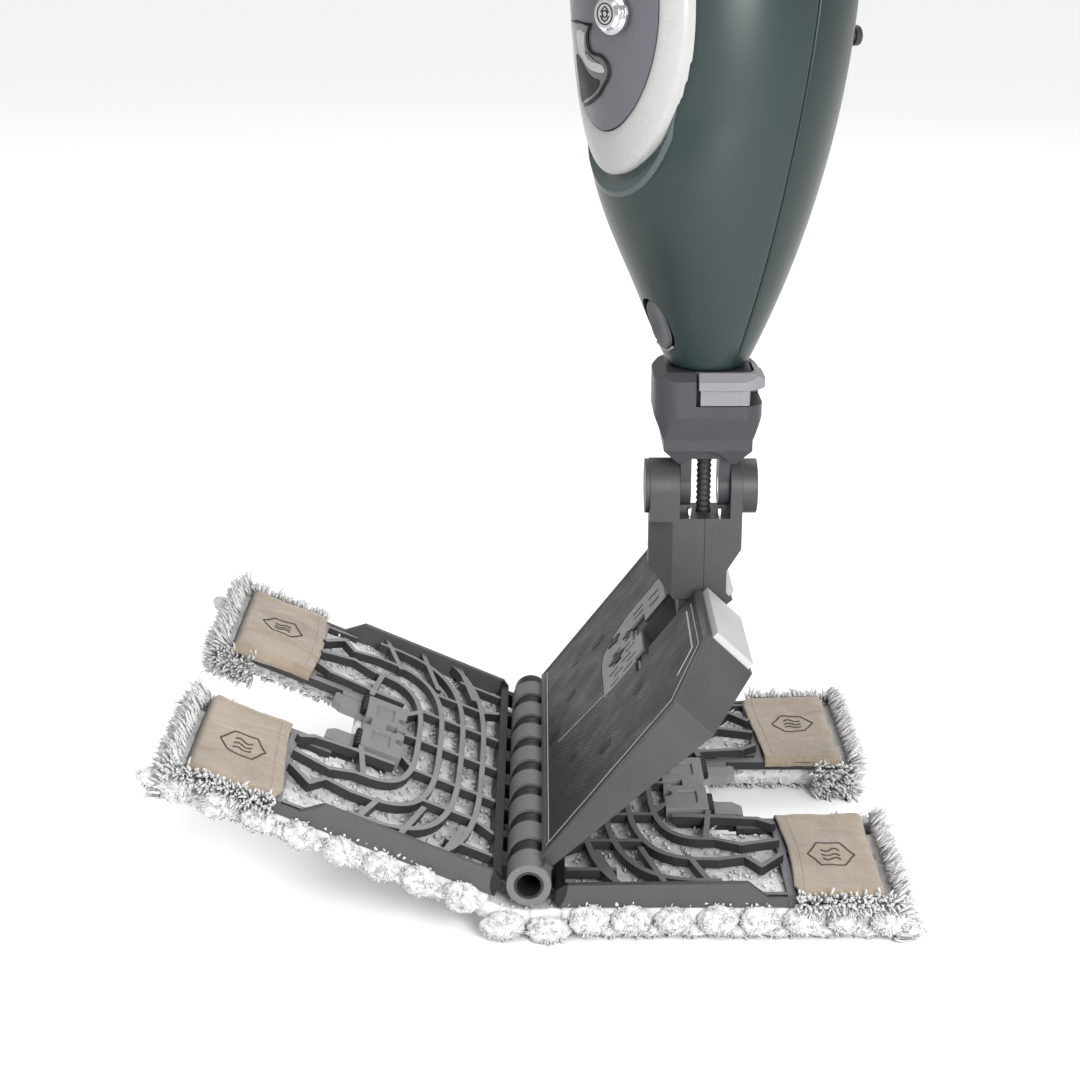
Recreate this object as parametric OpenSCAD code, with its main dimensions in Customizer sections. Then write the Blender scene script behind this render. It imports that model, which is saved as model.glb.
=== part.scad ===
// Steam mop with a two-sided, book-like head: two lattice wings fold on one
// hinge barrel against the two faces of a wedge-shaped steam plate.
// Millimetres. X runs along the push direction, Y along the hinge, Z up,
// and the floor under the mop pad is Z = 0.

/* [Head] */
// Height of the hinge axis above the floor
hinge_z = 32; // [30:1:36]
// Width of the wings along the hinge
head_w = 276; // [260:4:300]
// Outer radius of the hinge barrel
barrel_r = 12; // [11.5:0.5:13]
// Bore radius of the hinge tube
tube_bore_r = 6.5; // [5.5:0.1:6.8]
// Knuckle groups along the hinge
knuckle_groups = 8; // [6:1:9]

/* [Wings] */
// Length of a wing from the hinge axis to its prong tips
wing_l = 190; // [186:1:194]
// Length of the tall side rails from the hinge axis
rail_l = 120; // [112:1:124]
// Angle of the left wing above the floor
left_lift = 23; // [10:1:30]
// Width of the notch that the neck passes through
notch_w = 80; // [76:1:90]
// Width of the lattice bars
bar_w = 3.4; // [2.6:0.2:4]
// Pitch of the lattice arcs along the wing
arc_pitch = 13.6; // [12.6:0.2:14]

/* [Steam plate] */
// Angle of the steam plate above the floor
plate_angle = 47; // [40:1:55]
// Width of the steam plate
plate_w = 262; // [240:2:264]
// Distance from the hinge axis to the plate's corner
plate_side_l = 127; // [115:1:130]
// Distance from the hinge axis to the plate's end
plate_l = 158; // [154:1:160]
// Width of the plate's end face
plate_end_w = 192; // [170:2:210]
// Half wedge angle of the steam plate
wedge = 5; // [4:0.5:6]

/* [Neck] */
// Distance from the hinge axis to the tilt pivot
tilt_r = 145; // [140:1:148]
// Height of the lean pivot above the tilt pivot
lean_rise = 75; // [72:1:78]
// Width of the see-through window in the fork
window_w = 28.6; // [26:0.2:30]
// Widest half-width of the collar
collar_r = 30; // [28:0.5:31]

/* [Body] */
// Turn of the body from the mop's forward direction
body_yaw = 28; // [0:2:60]
// Height of the body's bottom edge
body_z0 = 284.6; // [284.6:0.1:285]
// Height of the body's widest circle
body_zm = 520; // [500:5:540]
// Radius of the body's bottom edge
body_r0 = 22; // [21:0.5:24]
// Radius of the body's widest circle
body_rm = 76; // [70:1:80]
// Height of the body's top edge
body_z1 = 690; // [670:5:700]
// Wall thickness of the shells
wall = 2.5; // [2:0.1:3]

/* [Ring and panel] */
// Half-width of the front ring
ring_a = 57; // [52:1:60]
// Half-height of the front ring
ring_b = 95; // [90:1:100]
// Half-width of the control panel
panel_a = 45; // [42:1:47]
// Half-height of the control panel
panel_b = 72; // [68:1:76]
// Height of the ring's centre
ring_z = 488; // [484:1:494]
// Height of the steam knob's centre
knob_z = 477; // [472:1:482]
// Turn of the steam knob from the middle of the panel
knob_turn = 16; // [14:1:18]
// Radius of the steam knob
knob_r = 10.5; // [9.5:0.5:14]

/* [Handle] */
// Radius of the handle tube
handle_r = 13; // [12:0.5:14]
// Height of the grip's lower end
grip_z0 = 1020; // [1000:5:1040]
// Overall height
total_h = 1200; // [1180:5:1210]

/* [Pad] */
// Thickness of the right pad, which the floor carries
pad_t = 19; // [17:1:19]
// Thickness of the left pad, which is pulled taut
left_pad_t = 14; // [12:1:16]
// Length of a pad half from the hinge axis
pad_l = 207; // [203:1:212]
// Width of the pad
pad_w = 292; // [284:2:300]

/* [Hidden] */
$fn = 64;

// Clearances: a running fit, a gap between moving parts, and a cut-through margin
run = 0.06;
gap = 0.6;
cut = 1;

// Frame: the hinge axis, the neck axis and the pivots, centred on the open pad
hinge_x = (pad_l * cos(left_lift) + (13 + left_pad_t) * sin(left_lift) - pad_l) / 2;
neck_x = hinge_x + tilt_r * cos(plate_angle);
tilt_z = hinge_z + tilt_r * sin(plate_angle);
lean_z = tilt_z + lean_rise;

// Colours
dark = [0.20, 0.20, 0.21];
mid = [0.30, 0.30, 0.31];
light = [0.62, 0.62, 0.63];
pale = [0.82, 0.82, 0.82];
green = [0.20, 0.26, 0.26];
steel = [0.75, 0.75, 0.77];
beige = [0.56, 0.49, 0.42];
white = [0.93, 0.93, 0.92];

// Wing section, measured across the leaf from the hinge axis
wing_top = -3;
wing_bot = -13;
lattice_top = -3.2;
lattice_bot = -8.4;
rail_top = 1;
prong_top = -8;
rail_t = 4;
inner_rail_u = 14.5;
block_u0 = 79;
block_u1 = 104;
block_half = 36;
notch_u = 116;
prong_u = 141;
pad_notch_u = 106;
tube_r = 8;
wing_knuckle_r = barrel_r - 1.4;

// Places children on a leaf that stands at an angle on the hinge axis
module on_hinge(angle) {
    translate([hinge_x, 0, hinge_z]) rotate([0, -angle, 0]) children();
}
module on_left_wing() {
    on_hinge(180 - left_lift) mirror([0, 0, 1]) children();
}
module on_right_wing() {
    on_hinge(0) children();
}
module on_plate() {
    on_hinge(plate_angle) children();
}

// Repeats children on both halves of the width
module both_sides() {
    children();
    mirror([0, 1, 0]) children();
}

// A straight bar between two points of a flat drawing
module bar(a, b, w = bar_w) {
    d = b - a;
    translate(a) rotate(atan2(d.y, d.x)) translate([-w / 2, -w / 2]) square([norm(d) + w, w]);
}

// Knuckle k (0 plate, 1 left wing, 2 right wing) of every group along the hinge
group_l = head_w / knuckle_groups;
wing_knuckle_l = 6.4;
plate_knuckle_l = group_l - 2 * wing_knuckle_l - 3 * gap;
function knuckle_y(k) = k == 0 ? 0 : plate_knuckle_l + gap + (k - 1) * (wing_knuckle_l + gap);
function knuckle_l(k) = k == 0 ? plate_knuckle_l : wing_knuckle_l;
module along_hinge(k) {
    for (g = [0 : knuckle_groups - 1])
        translate([0, -head_w / 2 + g * group_l + knuckle_y(k) + knuckle_l(k), 0])
            rotate([90, 0, 0]) linear_extrude(knuckle_l(k)) children();
}

// ---- Wings ----------------------------------------------------------------

// One U-shaped arc of the lattice: a rounded rectangle that opens towards the prongs
arc_u = 104;
arc_u_first = 70;
arc_b_first = 75;
squareness = 2 / 3.2;
function arc_a(k) = arc_u - arc_u_first + arc_pitch * k;
function arc_b(k) = arc_b_first + 25 * k;
arc_steps = 14;
function arc_point(k, t, off) =
    [arc_u - (arc_a(k) + off) * pow(sin(t), squareness), (arc_b(k) + off) * pow(cos(t), squareness)];
module lattice_arc(k) {
    outer = [for (i = [0 : arc_steps]) arc_point(k, 90 * i / arc_steps, bar_w / 2)];
    inner = [for (i = [arc_steps : -1 : 0]) arc_point(k, 90 * i / arc_steps, -bar_w / 2)];
    polygon(concat(outer, inner));
}

// One half of the flat lattice drawing, from the middle line to the side rail
module half_lattice() {
    rail_in = head_w / 2 - rail_t;
    difference() {
        union() {
            intersection() {
                translate([inner_rail_u, 0]) square([rail_l - inner_rail_u, rail_in + 1]);
                for (k = [0 : 3]) lattice_arc(k);
            }
            // bars that carry the arcs on into the prong
            bar([arc_u, arc_b(0)], [118, 82]);
            bar([118, 82], [138, 76]);
            bar([arc_u, arc_b(1)], [119, 96]);
            bar([119, 96], [127, 108]);
            bar([127, 108], [138, 95]);
            bar([84, 45], [104, 46], 4.4);
            bar([104, 46], [130, 49]);
            bar([130, 49], [138, 55]);
            // ribs from the hinge rail out to the arcs, the latch block and the side rail
            bar([inner_rail_u + 2, 0], [block_u0 + 1, 0]);
            bar([inner_rail_u + 2, 43], [70, 43]);
            bar([70, 43], [block_u0 + 1, 28]);
            bar([inner_rail_u + 2, 88], [32, 77]);
            bar([32, 77], [64, 77]);
            bar([inner_rail_u + 2, 112], [46, 112]);
            bar([49, rail_in + 1], [38, 92]);
            bar([75, rail_in + 1], [62, 87]);
            bar([100, rail_in + 1], [88, 97]);
            bar([99, 73], [103, 40]);
        }
        // seat of the latch block
        translate([block_u0, -bar_w]) square([notch_u - block_u0, block_half + bar_w]);
    }
}

// One half of the prong frame that goes into a pad pocket
module half_prong() {
    rail_out = head_w / 2;
    bar([notch_u + 2, notch_w / 2 + 3], [wing_l - 3, notch_w / 2 + 3], 7);
    bar([notch_u + 4, notch_w / 2 + 11], [142, notch_w / 2 + 11], 3);
    bar([rail_l, rail_out - 1.5], [wing_l - 2, rail_out - 1.5], 3);
    bar([rail_l, rail_out - 7], [wing_l - 2, rail_out - 7], 3);
    bar([prong_u, notch_w / 2 + 3], [prong_u, rail_out - 2], 5);
    bar([wing_l - 3, notch_w / 2 + 3], [wing_l - 3, rail_out - 3], 6);
    bar([prong_u, 80], [wing_l - 3, 80], 5);
}

// Side rail seen from the side: tall, with a slanted step down to the prong
module side_rail() {
    translate([0, head_w / 2, 0]) rotate([90, 0, 0]) linear_extrude(rail_t) polygon([
        [inner_rail_u, wing_bot], [rail_l + 8, wing_bot], [rail_l + 8, prong_top],
        [rail_l - 3, rail_top], [inner_rail_u + 4.5, rail_top - 1], [inner_rail_u, wing_top]
    ]);
}

module wing_frame(k) {
    both_sides() {
        translate([0, 0, lattice_bot]) linear_extrude(lattice_top - lattice_bot) half_lattice();
        translate([0, 0, wing_bot]) linear_extrude(prong_top - wing_bot) half_prong();
        side_rail();
        // web that ties the notch side of the prong down to the latch block
        translate([block_u0 + 6, block_half - 2, wing_bot])
            cube([notch_u - block_u0 - 2, 10.5, prong_top - wing_bot]);
    }
    translate([inner_rail_u, -head_w / 2, wing_bot])
        cube([5, head_w, wing_top - wing_bot]);
    difference() {
        along_hinge(k) {
            circle(r = wing_knuckle_r);
            translate([0, -12]) square([inner_rail_u + 1, 8.4]);
        }
        rotate([90, 0, 0]) cylinder(r = tube_r + run, h = head_w + 2 * cut, center = true);
    }
}

module latch_block() {
    difference() {
        union() {
            translate([block_u0, -block_half, wing_bot])
                cube([block_u1 - block_u0, 2 * block_half, wing_top - wing_bot - 0.2]);
            // tabs that reach past the neck on both sides
            both_sides() translate([0, 0, wing_bot]) linear_extrude(5) polygon([
                [block_u1 - 2, 9], [109, 17], [119, 17.5], [124, 23], [124, 33], [119, 36],
                [block_u1 - 2, block_half - 0.1]
            ]);
        }
        // keyhole for the catch, open to the hinge side, with a round bite on both sides
        translate([block_u0 + 5, -4.5, wing_bot + 4]) cube([6.5, 9, 10]);
        translate([block_u0 - cut, -2.2, wing_bot + 4]) cube([8, 4.4, 10]);
        both_sides() translate([block_u0, 15, wing_bot + 4]) cylinder(r = 4.6, h = 10);
        // shallow recesses on top and a notch towards the neck
        both_sides() translate([block_u0 + 8, 11, wing_top - 1.4]) cube([11, 17, 3]);
        translate([block_u1 - 4, -6, wing_bot + 5]) cube([6, 12, 10]);
        // pockets where the web of the frame passes
        both_sides()
            translate([block_u0 + 5, block_half - 2.5, wing_bot - cut])
                cube([notch_u - block_u0, 14, 7]);
    }
}

// Two sprung hooks that snap over the edge of the steam plate's slot
hook_y0 = 15;
hook_len = 20;
module latch_hooks() {
    both_sides() translate([block_u1, hook_y0, prong_top + 0.2]) {
        cube([3.6, hook_len, 6.6]);
        translate([-1.6, 0, 5.2]) cube([5.2, hook_len, 1.8]);
    }
}

module pad_half(thickness) {
    difference() {
        translate([18, -pad_w / 2, wing_bot - thickness]) cube([pad_l - 18, pad_w, thickness]);
        translate([pad_notch_u, -38, wing_bot - thickness - cut])
            cube([pad_l, 76, thickness + 2 * cut]);
    }
}

// Pocket sheet on top of one prong, with a wall round its outer edges
module pocket() {
    pocket_u0 = 140.4;
    pocket_u1 = 195;
    pocket_y0 = 41;
    pocket_y1 = 141;
    difference() {
        translate([pocket_u0, pocket_y0, wing_bot])
            cube([pocket_u1 - pocket_u0, pocket_y1 - pocket_y0, 8]);
        translate([pocket_u0 - cut, pocket_y0 - cut, wing_bot - cut])
            cube([wing_l - pocket_u0 + 2, head_w / 2 + 1 - pocket_y0 + cut, 6.6]);
    }
}

module wing_left() color(mid) on_left_wing() wing_frame(1);
module wing_right() color(mid) on_right_wing() wing_frame(2);
module latch_block_left() color(light) on_left_wing() latch_block();
module latch_block_right() color(light) on_right_wing() latch_block();
module latch_hooks_left() color(dark) on_left_wing() latch_hooks();
module latch_hooks_right() color(dark) on_right_wing() latch_hooks();
module pad_left() color(white) on_left_wing() pad_half(left_pad_t);
module pad_right() color(white) on_right_wing() pad_half(pad_t);
module pocket_left_near() color(beige) on_left_wing() mirror([0, 1, 0]) pocket();
module pocket_left_far() color(beige) on_left_wing() pocket();
module pocket_right_near() color(beige) on_right_wing() mirror([0, 1, 0]) pocket();
module pocket_right_far() color(beige) on_right_wing() pocket();

// Slack middle of the pad, which hangs under the barrel
module pad_centre() {
    color(white) translate([hinge_x, pad_w / 2, hinge_z]) rotate([90, 0, 0])
        linear_extrude(pad_w) polygon([
            [-27, -20.5], [-20.5, -13.5], [17, -13.5], [17, -31.5], [8, -31.5], [-15, -28]
        ]);
}

// ---- Steam plate ----------------------------------------------------------

slope = tan(wedge);
face_0 = 2.4;
function face_w(u) = face_0 + slope * u;
skin = 2;
plate_u0 = 14;
knuckle_slot = 21.5;
slot_u = 108;
grille_u = 72;
grille_near = -20;
grille_far = 58;

// Outline of the plate seen square to its face, inset by a margin
module plate_outline(m = 0) {
    polygon([
        [plate_u0 + m, -plate_w / 2 + m], [plate_side_l, -plate_w / 2 + m],
        [plate_l - m, -plate_end_w / 2 + m], [plate_l - m, plate_end_w / 2 - m],
        [plate_side_l, plate_w / 2 - m], [plate_u0 + m, plate_w / 2 - m]
    ]);
}

// The wedge between two faces that lie d inside the outer faces
module wedge_body(m = 0, d = 0) {
    intersection() {
        translate([0, 0, -30]) linear_extrude(60) plate_outline(m);
        rotate([90, 0, 0]) linear_extrude(plate_w + 2, center = true) polygon([
            [0, face_w(0) - d], [plate_l + 5, face_w(plate_l + 5) - d],
            [plate_l + 5, d - face_w(plate_l + 5)], [0, d - face_w(0)]
        ]);
    }
}

module tilt_slot() {
    translate([slot_u, -knuckle_slot, -30]) cube([60, 2 * knuckle_slot, 60]);
}

module plate_core() {
    cheek_w = 16;
    color(mid) on_plate() difference() {
        union() {
            difference() {
                wedge_body();
                // hollow inside, open to both faces behind the rims
                wedge_body(5, -cut);
                tilt_slot();
            }
            // cheeks that carry the tilt pin, and the wall behind the slot
            difference() {
                intersection() {
                    wedge_body(2, skin + 0.2);
                    translate([slot_u - 4, -knuckle_slot - cheek_w, -30])
                        cube([60, 2 * (knuckle_slot + cheek_w), 60]);
                }
                tilt_slot();
            }
            // long ribs between the two soles
            intersection() {
                wedge_body(2, skin + 0.2);
                for (y = [-88, -46, 46, 88]) translate([0, y - 1.5, -30]) cube([plate_l, 3, 60]);
            }
            along_hinge(0) {
                circle(r = barrel_r);
                translate([0, -face_w(0)]) square([plate_u0 + 2, 2 * face_w(0)]);
            }
        }
        rotate([90, 0, 0]) cylinder(r = tube_r, h = head_w + 2 * cut, center = true);
        translate([tilt_r, 0, 0]) rotate([90, 0, 0])
            cylinder(r = tilt_pin_r + run, h = 2 * (knuckle_slot + cheek_w - 2), center = true);
        side_screws(0.02);
    }
}

// Openings for the wing's sprung hooks at both sides of the slot
module hook_windows() {
    both_sides() translate([block_u1 - 3, hook_y0 - 1.4, 0]) cube([12, hook_len + 2.8, 40]);
}

// Flat drawing of the outlet's area: a pointed field that wraps round the slot
module grille_area(m = 0) {
    polygon([
        [grille_u + m, grille_near + m], [slot_u, grille_near + m], [slot_u, -knuckle_slot],
        [slot_u + 0.3, -knuckle_slot], [slot_u + 0.3, knuckle_slot + 0.5 + m],
        [132 - m, knuckle_slot + 0.5 + m], [132 - m, grille_far + 6 - m],
        [slot_u - 8, grille_far + 5 - m], [84 + m, grille_far - 2 - m],
        [grille_u + 2 + m, grille_far - 14 - m], [grille_u + m, grille_far - 30]
    ]);
}

// Slab that follows one face of the wedge between two depths
module face_slab(top, bottom) {
    rotate([90, 0, 0]) linear_extrude(plate_w, center = true) polygon([
        [0, face_w(0) - top], [plate_l, face_w(plate_l) - top],
        [plate_l, face_w(plate_l) - bottom], [0, face_w(0) - bottom]
    ]);
}

// A sole covers one face inside the rim and has round steam holes
module sole() {
    hole_r = 2.2;
    difference() {
        intersection() {
            wedge_body(5.2);
            face_slab(0, skin);
        }
        tilt_slot();
        hook_windows();
        linear_extrude(40) grille_area();
        for (at = [[43, 41], [43, -50], [26, 8], [70, -84], [48, 84], [70, 76], [100, -60]])
            translate([at.x, at.y, 0]) cylinder(r = hole_r, h = 30);
    }
}

// Slotted outlet through which most of the steam leaves
module outlet_grille() {
    slot_w = 3;
    difference() {
        intersection() {
            linear_extrude(40) grille_area(0.2);
            face_slab(0.2, 1.9);
        }
        tilt_slot();
        hook_windows();
        for (row = [0 : 5], col = [0 : 1])
            translate([78 + 12 * col + 4 * (row % 2), grille_near + 5 + 8 * row, 0])
                cube([8, slot_w, 40]);
        for (y = [42, 50]) translate([104, y, 0]) cube([9, slot_w, 40]);
        for (y = [34, 46]) translate([118, y, 0]) cube([9, slot_w, 40]);
    }
}

// Pale cover on one half of the plate's end face
module end_cover() {
    translate([plate_l, knuckle_slot + 1, -13.4]) difference() {
        cube([4, plate_end_w / 2 - knuckle_slot - 2, 26.8]);
        translate([-cut, -cut, -cut]) cube([cut + 0.1, 1, 1]);
    }
}

module steam_duct() {
    color(pale) on_plate() intersection() {
        wedge_body(8, skin + 0.6);
        translate([30, -43, -8]) cube([slot_u - 36, 86, 16]);
    }
}

module side_screws(m = 0) {
    both_sides() for (u = [50, 82, 112])
        translate([u, plate_w / 2 - 0.4 + cut * m, 0]) rotate([90, 0, 0])
            cylinder(r = 2 + m, h = 4.2 + 2 * cut * m);
}
module plate_screws() {
    color(steel) on_plate() side_screws();
}

module sole_left() color(mid) on_plate() sole();
module sole_right() color(mid) on_plate() mirror([0, 0, 1]) sole();
module outlet_grille_left() color(light) on_plate() outlet_grille();
module outlet_grille_right() color(light) on_plate() mirror([0, 0, 1]) outlet_grille();
module end_cover_near() color(pale) on_plate() mirror([0, 1, 0]) end_cover();
module end_cover_far() color(pale) on_plate() end_cover();
module hinge_tube() {
    color(dark) on_plate() rotate([90, 0, 0]) difference() {
        cylinder(r = tube_r, h = head_w, center = true);
        cylinder(r = tube_bore_r, h = head_w + 2 * cut, center = true);
    }
}

// ---- Fork: the lower neck -------------------------------------------------

fork_y = 16;
fork_left_x = 31;
fork_right_x = 21;
shoulder_z = tilt_z + 12;
sill_z = lean_z - 15;
cheek_r = 16;
window_in = window_w / 2;
lean_pin_r = 5;
tilt_pin_r = 5;
boss_r = 15.5;
waist_x = 13;

module on_neck(z = 0) {
    translate([neck_x, 0, z]) children();
}

// Front view of the column: cut back at the lower left, waisted at the lower right
module column_front() {
    polygon([
        [-fork_left_x + 14, shoulder_z], [waist_x, shoulder_z], [waist_x, shoulder_z + 17],
        [fork_right_x, shoulder_z + 30], [fork_right_x, sill_z],
        [-fork_left_x, sill_z], [-fork_left_x, shoulder_z + 18]
    ]);
}

// Both halves of the fork as one solid, before it is split down the middle
module fork_solid() {
    difference() {
        union() {
            // knuckle and stem that turn in the plate's slot
            on_neck(tilt_z) rotate([90, 0, 0]) cylinder(r = 14, h = 39, center = true);
            on_neck(tilt_z) translate([-14, -14, 0]) cube([27, 28, shoulder_z - tilt_z + 2]);
            // column with a cut-back left corner
            intersection() {
                on_neck() linear_extrude(sill_z) polygon([
                    [-fork_left_x + 13, -fork_y], [fork_right_x, -fork_y],
                    [fork_right_x, fork_y], [-fork_left_x + 13, fork_y],
                    [-fork_left_x, fork_y - 11], [-fork_left_x, -fork_y + 11]
                ]);
                on_neck() rotate([90, 0, 0]) linear_extrude(60, center = true) column_front();
            }
            // cheeks on both sides of the window
            for (side = [[-fork_left_x, fork_left_x - window_in],
                         [window_in, fork_right_x - window_in]])
                on_neck(lean_z) translate([side[0], 0, 0]) {
                    rotate([90, 0, 90]) cylinder(r = cheek_r, h = side[1]);
                    translate([0, -fork_y, sill_z - lean_z - 2])
                        cube([side[1], 2 * fork_y, lean_z - sill_z + 2]);
                }
            on_neck(lean_z) translate([-fork_left_x - 2.5, 0, 0])
                rotate([90, 0, 90]) cylinder(r = boss_r, h = 3);
            on_neck(lean_z) translate([fork_right_x - 0.5, 0, 0])
                rotate([90, 0, 90]) cylinder(r = boss_r, h = 9);
        }
        // lean pins, tilt pin, steam hose and guide pins
        on_neck(lean_z) rotate([0, 90, 0]) cylinder(r = lean_pin_r + run, h = 51, center = true);
        on_neck(tilt_z) rotate([90, 0, 0]) cylinder(r = tilt_pin_r, h = 60, center = true);
        on_neck(tilt_z + 16) cylinder(r = 4.4, h = 70);
        for (x = [-8.5, 8.5])
            on_neck(sill_z - 12) translate([x, -fork_y + 5, 0]) cylinder(r = 1.6, h = 20);
    }
}

// The two halves meet in a plane with a hair of a gap
split = 0.1;
module fork_left() {
    color(mid) intersection() {
        fork_solid();
        on_neck() translate([-60, -40, 60]) cube([60 - split, 80, 220]);
    }
}
module fork_right() {
    color(mid) intersection() {
        fork_solid();
        on_neck() translate([split, -40, 60]) cube([60 - split, 80, 220]);
    }
}
module steam_hose() {
    color(dark) on_neck(tilt_z + 20) cylinder(r = 4.3, h = lean_z + 26 - tilt_z - 20);
}
module guide_pins() {
    color(steel) for (x = [-8.5, 8.5])
        on_neck(sill_z - 12) translate([x, -fork_y + 5, 0]) cylinder(r = 1.6, h = 17);
}
module tilt_pin() {
    color(steel) on_neck(tilt_z) rotate([90, 0, 0])
        cylinder(r = tilt_pin_r, h = 2 * (knuckle_slot + 13), center = true);
}

// ---- Collar ---------------------------------------------------------------

collar_z0 = lean_z + 19;
collar_z1 = 284;
spigot_r = 17;
lug_t = 6.2;

// Rounded rectangle seen from above
module rounded_rect(ax, ay, corner) {
    for (x = [corner - ax, ax - corner], y = [corner - ay, ay - corner])
        translate([x, y]) circle(r = corner);
    translate([-ax, corner - ay]) square([2 * ax, 2 * (ay - corner)]);
    translate([corner - ax, -ay]) square([2 * (ax - corner), 2 * ay]);
}

// Side view of the collar: pointed foot, waist, widest band and chamfered top
module collar_profile(foot, waist, wide, top) {
    foot_z = 240;
    waist_z = 246;
    band_z0 = 259;
    band_z1 = 279.5;
    polygon([
        [-foot, collar_z0], [-waist, foot_z], [-waist, waist_z], [-wide, band_z0],
        [-wide, band_z1], [-top, collar_z1], [top, collar_z1], [wide, band_z1],
        [wide, band_z0], [waist, waist_z], [waist, foot_z], [foot, collar_z0]
    ]);
}

// Body of the collar, with its outer surface m millimetres proud
collar_depth = 27;
collar_corner = 13;
module collar_outer(m = 0) {
    on_neck() intersection() {
        linear_extrude(300) rounded_rect(collar_r + m, collar_depth + m, collar_corner + m);
        rotate([90, 0, 0]) linear_extrude(100, center = true)
            collar_profile(16 + m, 24.5 + m, collar_r + m, 23.5 + m);
        rotate([90, 0, 90]) linear_extrude(100, center = true)
            collar_profile(22 + m, 24.5 + m, collar_depth + m, 22 + m);
    }
}

// Everything that lies deeper in the collar than d
module collar_inner(d) {
    on_neck() linear_extrude(300)
        rounded_rect(collar_r - d, collar_depth - d, collar_corner - d);
}

// The release button wraps round the right front corner of the collar
button_x0 = -6;
button_lip_z = 275;
button_low_z = 266.4;
button_t = 5;
press = 1.5;

module collar() {
    color(dark) difference() {
        union() {
            difference() {
                collar_outer();
                // arch over the fork's window, on the front and the back
                both_sides() on_neck(collar_z0 - 7) translate([0, -12, 0])
                    rotate([90, 0, 0]) cylinder(r = window_in, h = 30);
                // arch over the fork's cheeks
                on_neck(lean_z) rotate([0, 90, 0])
                    cylinder(r = cheek_r + 3, h = 100, center = true);
            }
            // two lugs that hang between the cheeks and carry the lean pins
            for (x = [-window_in + 0.3, window_in - 0.3 - lug_t])
                on_neck(lean_z) translate([x, 0, 0]) {
                    rotate([90, 0, 90]) cylinder(r = 11, h = lug_t);
                    translate([0, -10, 0]) cube([lug_t, 20, collar_z0 - lean_z + 4]);
                }
        }
        // lean pins, steam passage, socket for the body, button recess
        on_neck(lean_z) rotate([0, 90, 0]) cylinder(r = lean_pin_r, h = 60, center = true);
        on_neck(lean_z + 10) cylinder(r = 4.6, h = 100);
        on_neck(250) cylinder(r = spigot_r + 0.05, h = 60);
        difference() {
            on_neck() translate([button_x0 - press, -60, button_low_z - gap])
                cube([60, 66 + press, 30]);
            collar_inner(button_t + press);
        }
    }
}

module collar_button() {
    color(light) difference() {
        union() {
            intersection() {
                collar_outer(1.4);
                on_neck() translate([button_x0, -60, button_lip_z]) cube([60, 66, 20]);
            }
            intersection() {
                collar_outer(0.2);
                on_neck() translate([button_x0 + 1, -60, button_low_z])
                    cube([27, 52, button_lip_z - button_low_z + 0.5]);
            }
        }
        collar_inner(button_t);
    }
}

module lean_pins() {
    color(steel) for (side = [-1, 1])
        on_neck(lean_z) translate([side > 0 ? window_in - 6.4 : -25.4, 0, 0])
            rotate([0, 90, 0]) cylinder(r = lean_pin_r, h = 25.4 - window_in + 6.4);
}

module swivel_seal() {
    color(dark) on_neck(252) rotate_extrude() translate([14, 0]) circle(r = 1.9);
}

// ---- Body -----------------------------------------------------------------

module on_body() {
    on_neck() rotate([0, 0, body_yaw]) children();
}

// Radius of the body at a height: two arcs that meet at the widest circle
low_arc = (pow(body_zm - body_z0, 2) + pow(body_rm - body_r0, 2)) / (2 * (body_rm - body_r0));
top_r = 32;
high_arc = (pow(body_z1 - body_zm, 2) + pow(body_rm - top_r, 2)) / (2 * (body_rm - top_r));
function arc_for(z) = z < body_zm ? low_arc : high_arc;
function body_r(z) = body_rm - arc_for(z) + sqrt(pow(arc_for(z), 2) - pow(z - body_zm, 2));

// Solid of revolution whose surface stands off from the body's by a distance
body_steps = 20;
module body_solid(off = 0, z0 = body_z0, z1 = body_z1) {
    rotate_extrude($fn = 96) polygon(concat(
        [[0, z0]],
        [for (i = [0 : body_steps]) let (z = z0 + (z1 - z0) * i / body_steps) [body_r(z) + off, z]],
        [[0, z1]]
    ));
}

module oval(a, b) {
    steps = 48;
    polygon([for (i = [0 : steps - 1]) [a * cos(360 * i / steps), b * sin(360 * i / steps)]]);
}

// Prism through the front of the body with a flat drawing of the front
module through_front(depth = 70) {
    translate([-10, 0, 0]) rotate([90, 0, -90]) linear_extrude(depth + 20) children();
}

module ring_oval(a, b) {
    translate([0, ring_z]) oval(a, b);
}

module shell_wall() {
    difference() {
        body_solid();
        body_solid(-wall, body_z0 + wall, body_z1 - wall);
        translate([0, 0, body_z0 - cut]) cylinder(r = 17.6, h = 10);
        translate([0, 0, body_z1 - 5]) cylinder(r = 18.1, h = 10);
    }
}

button_z = 309;
button_slope = 23.5;
module on_release_button() {
    translate([-body_r(button_z), 0, button_z]) rotate([0, -90 - button_slope, 0]) children();
}
module long_hole(r, half) {
    for (x = [-half, half]) translate([x, 0]) circle(r = r);
    translate([-half, -r]) square([2 * half, 2 * r]);
}

cap_z = 640;
cap_r = 15;
gland_z = 672;

// Everything in front of the seam between the shells, which bows to the rear
module seam_front(shift) {
    translate([shift, 0, 0]) rotate([90, 0, 0]) linear_extrude(300, center = true) polygon([
        [-200, 260], [3, 260], [15, 481], [17, 530], [12, 620], [1, 720], [-200, 720]
    ]);
}

module front_shell() {
    color(green) on_body() difference() {
        intersection() {
            shell_wall();
            seam_front(-0.1);
        }
        through_front(100) ring_oval(ring_a + 0.5, ring_b + 0.5);
        on_release_button() translate([0, 0, -10]) linear_extrude(20) long_hole(11.4, 5);
        translate([-100, 0, cap_z]) rotate([0, 90, 0]) cylinder(r = cap_r + run, h = 60);
    }
}

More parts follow.
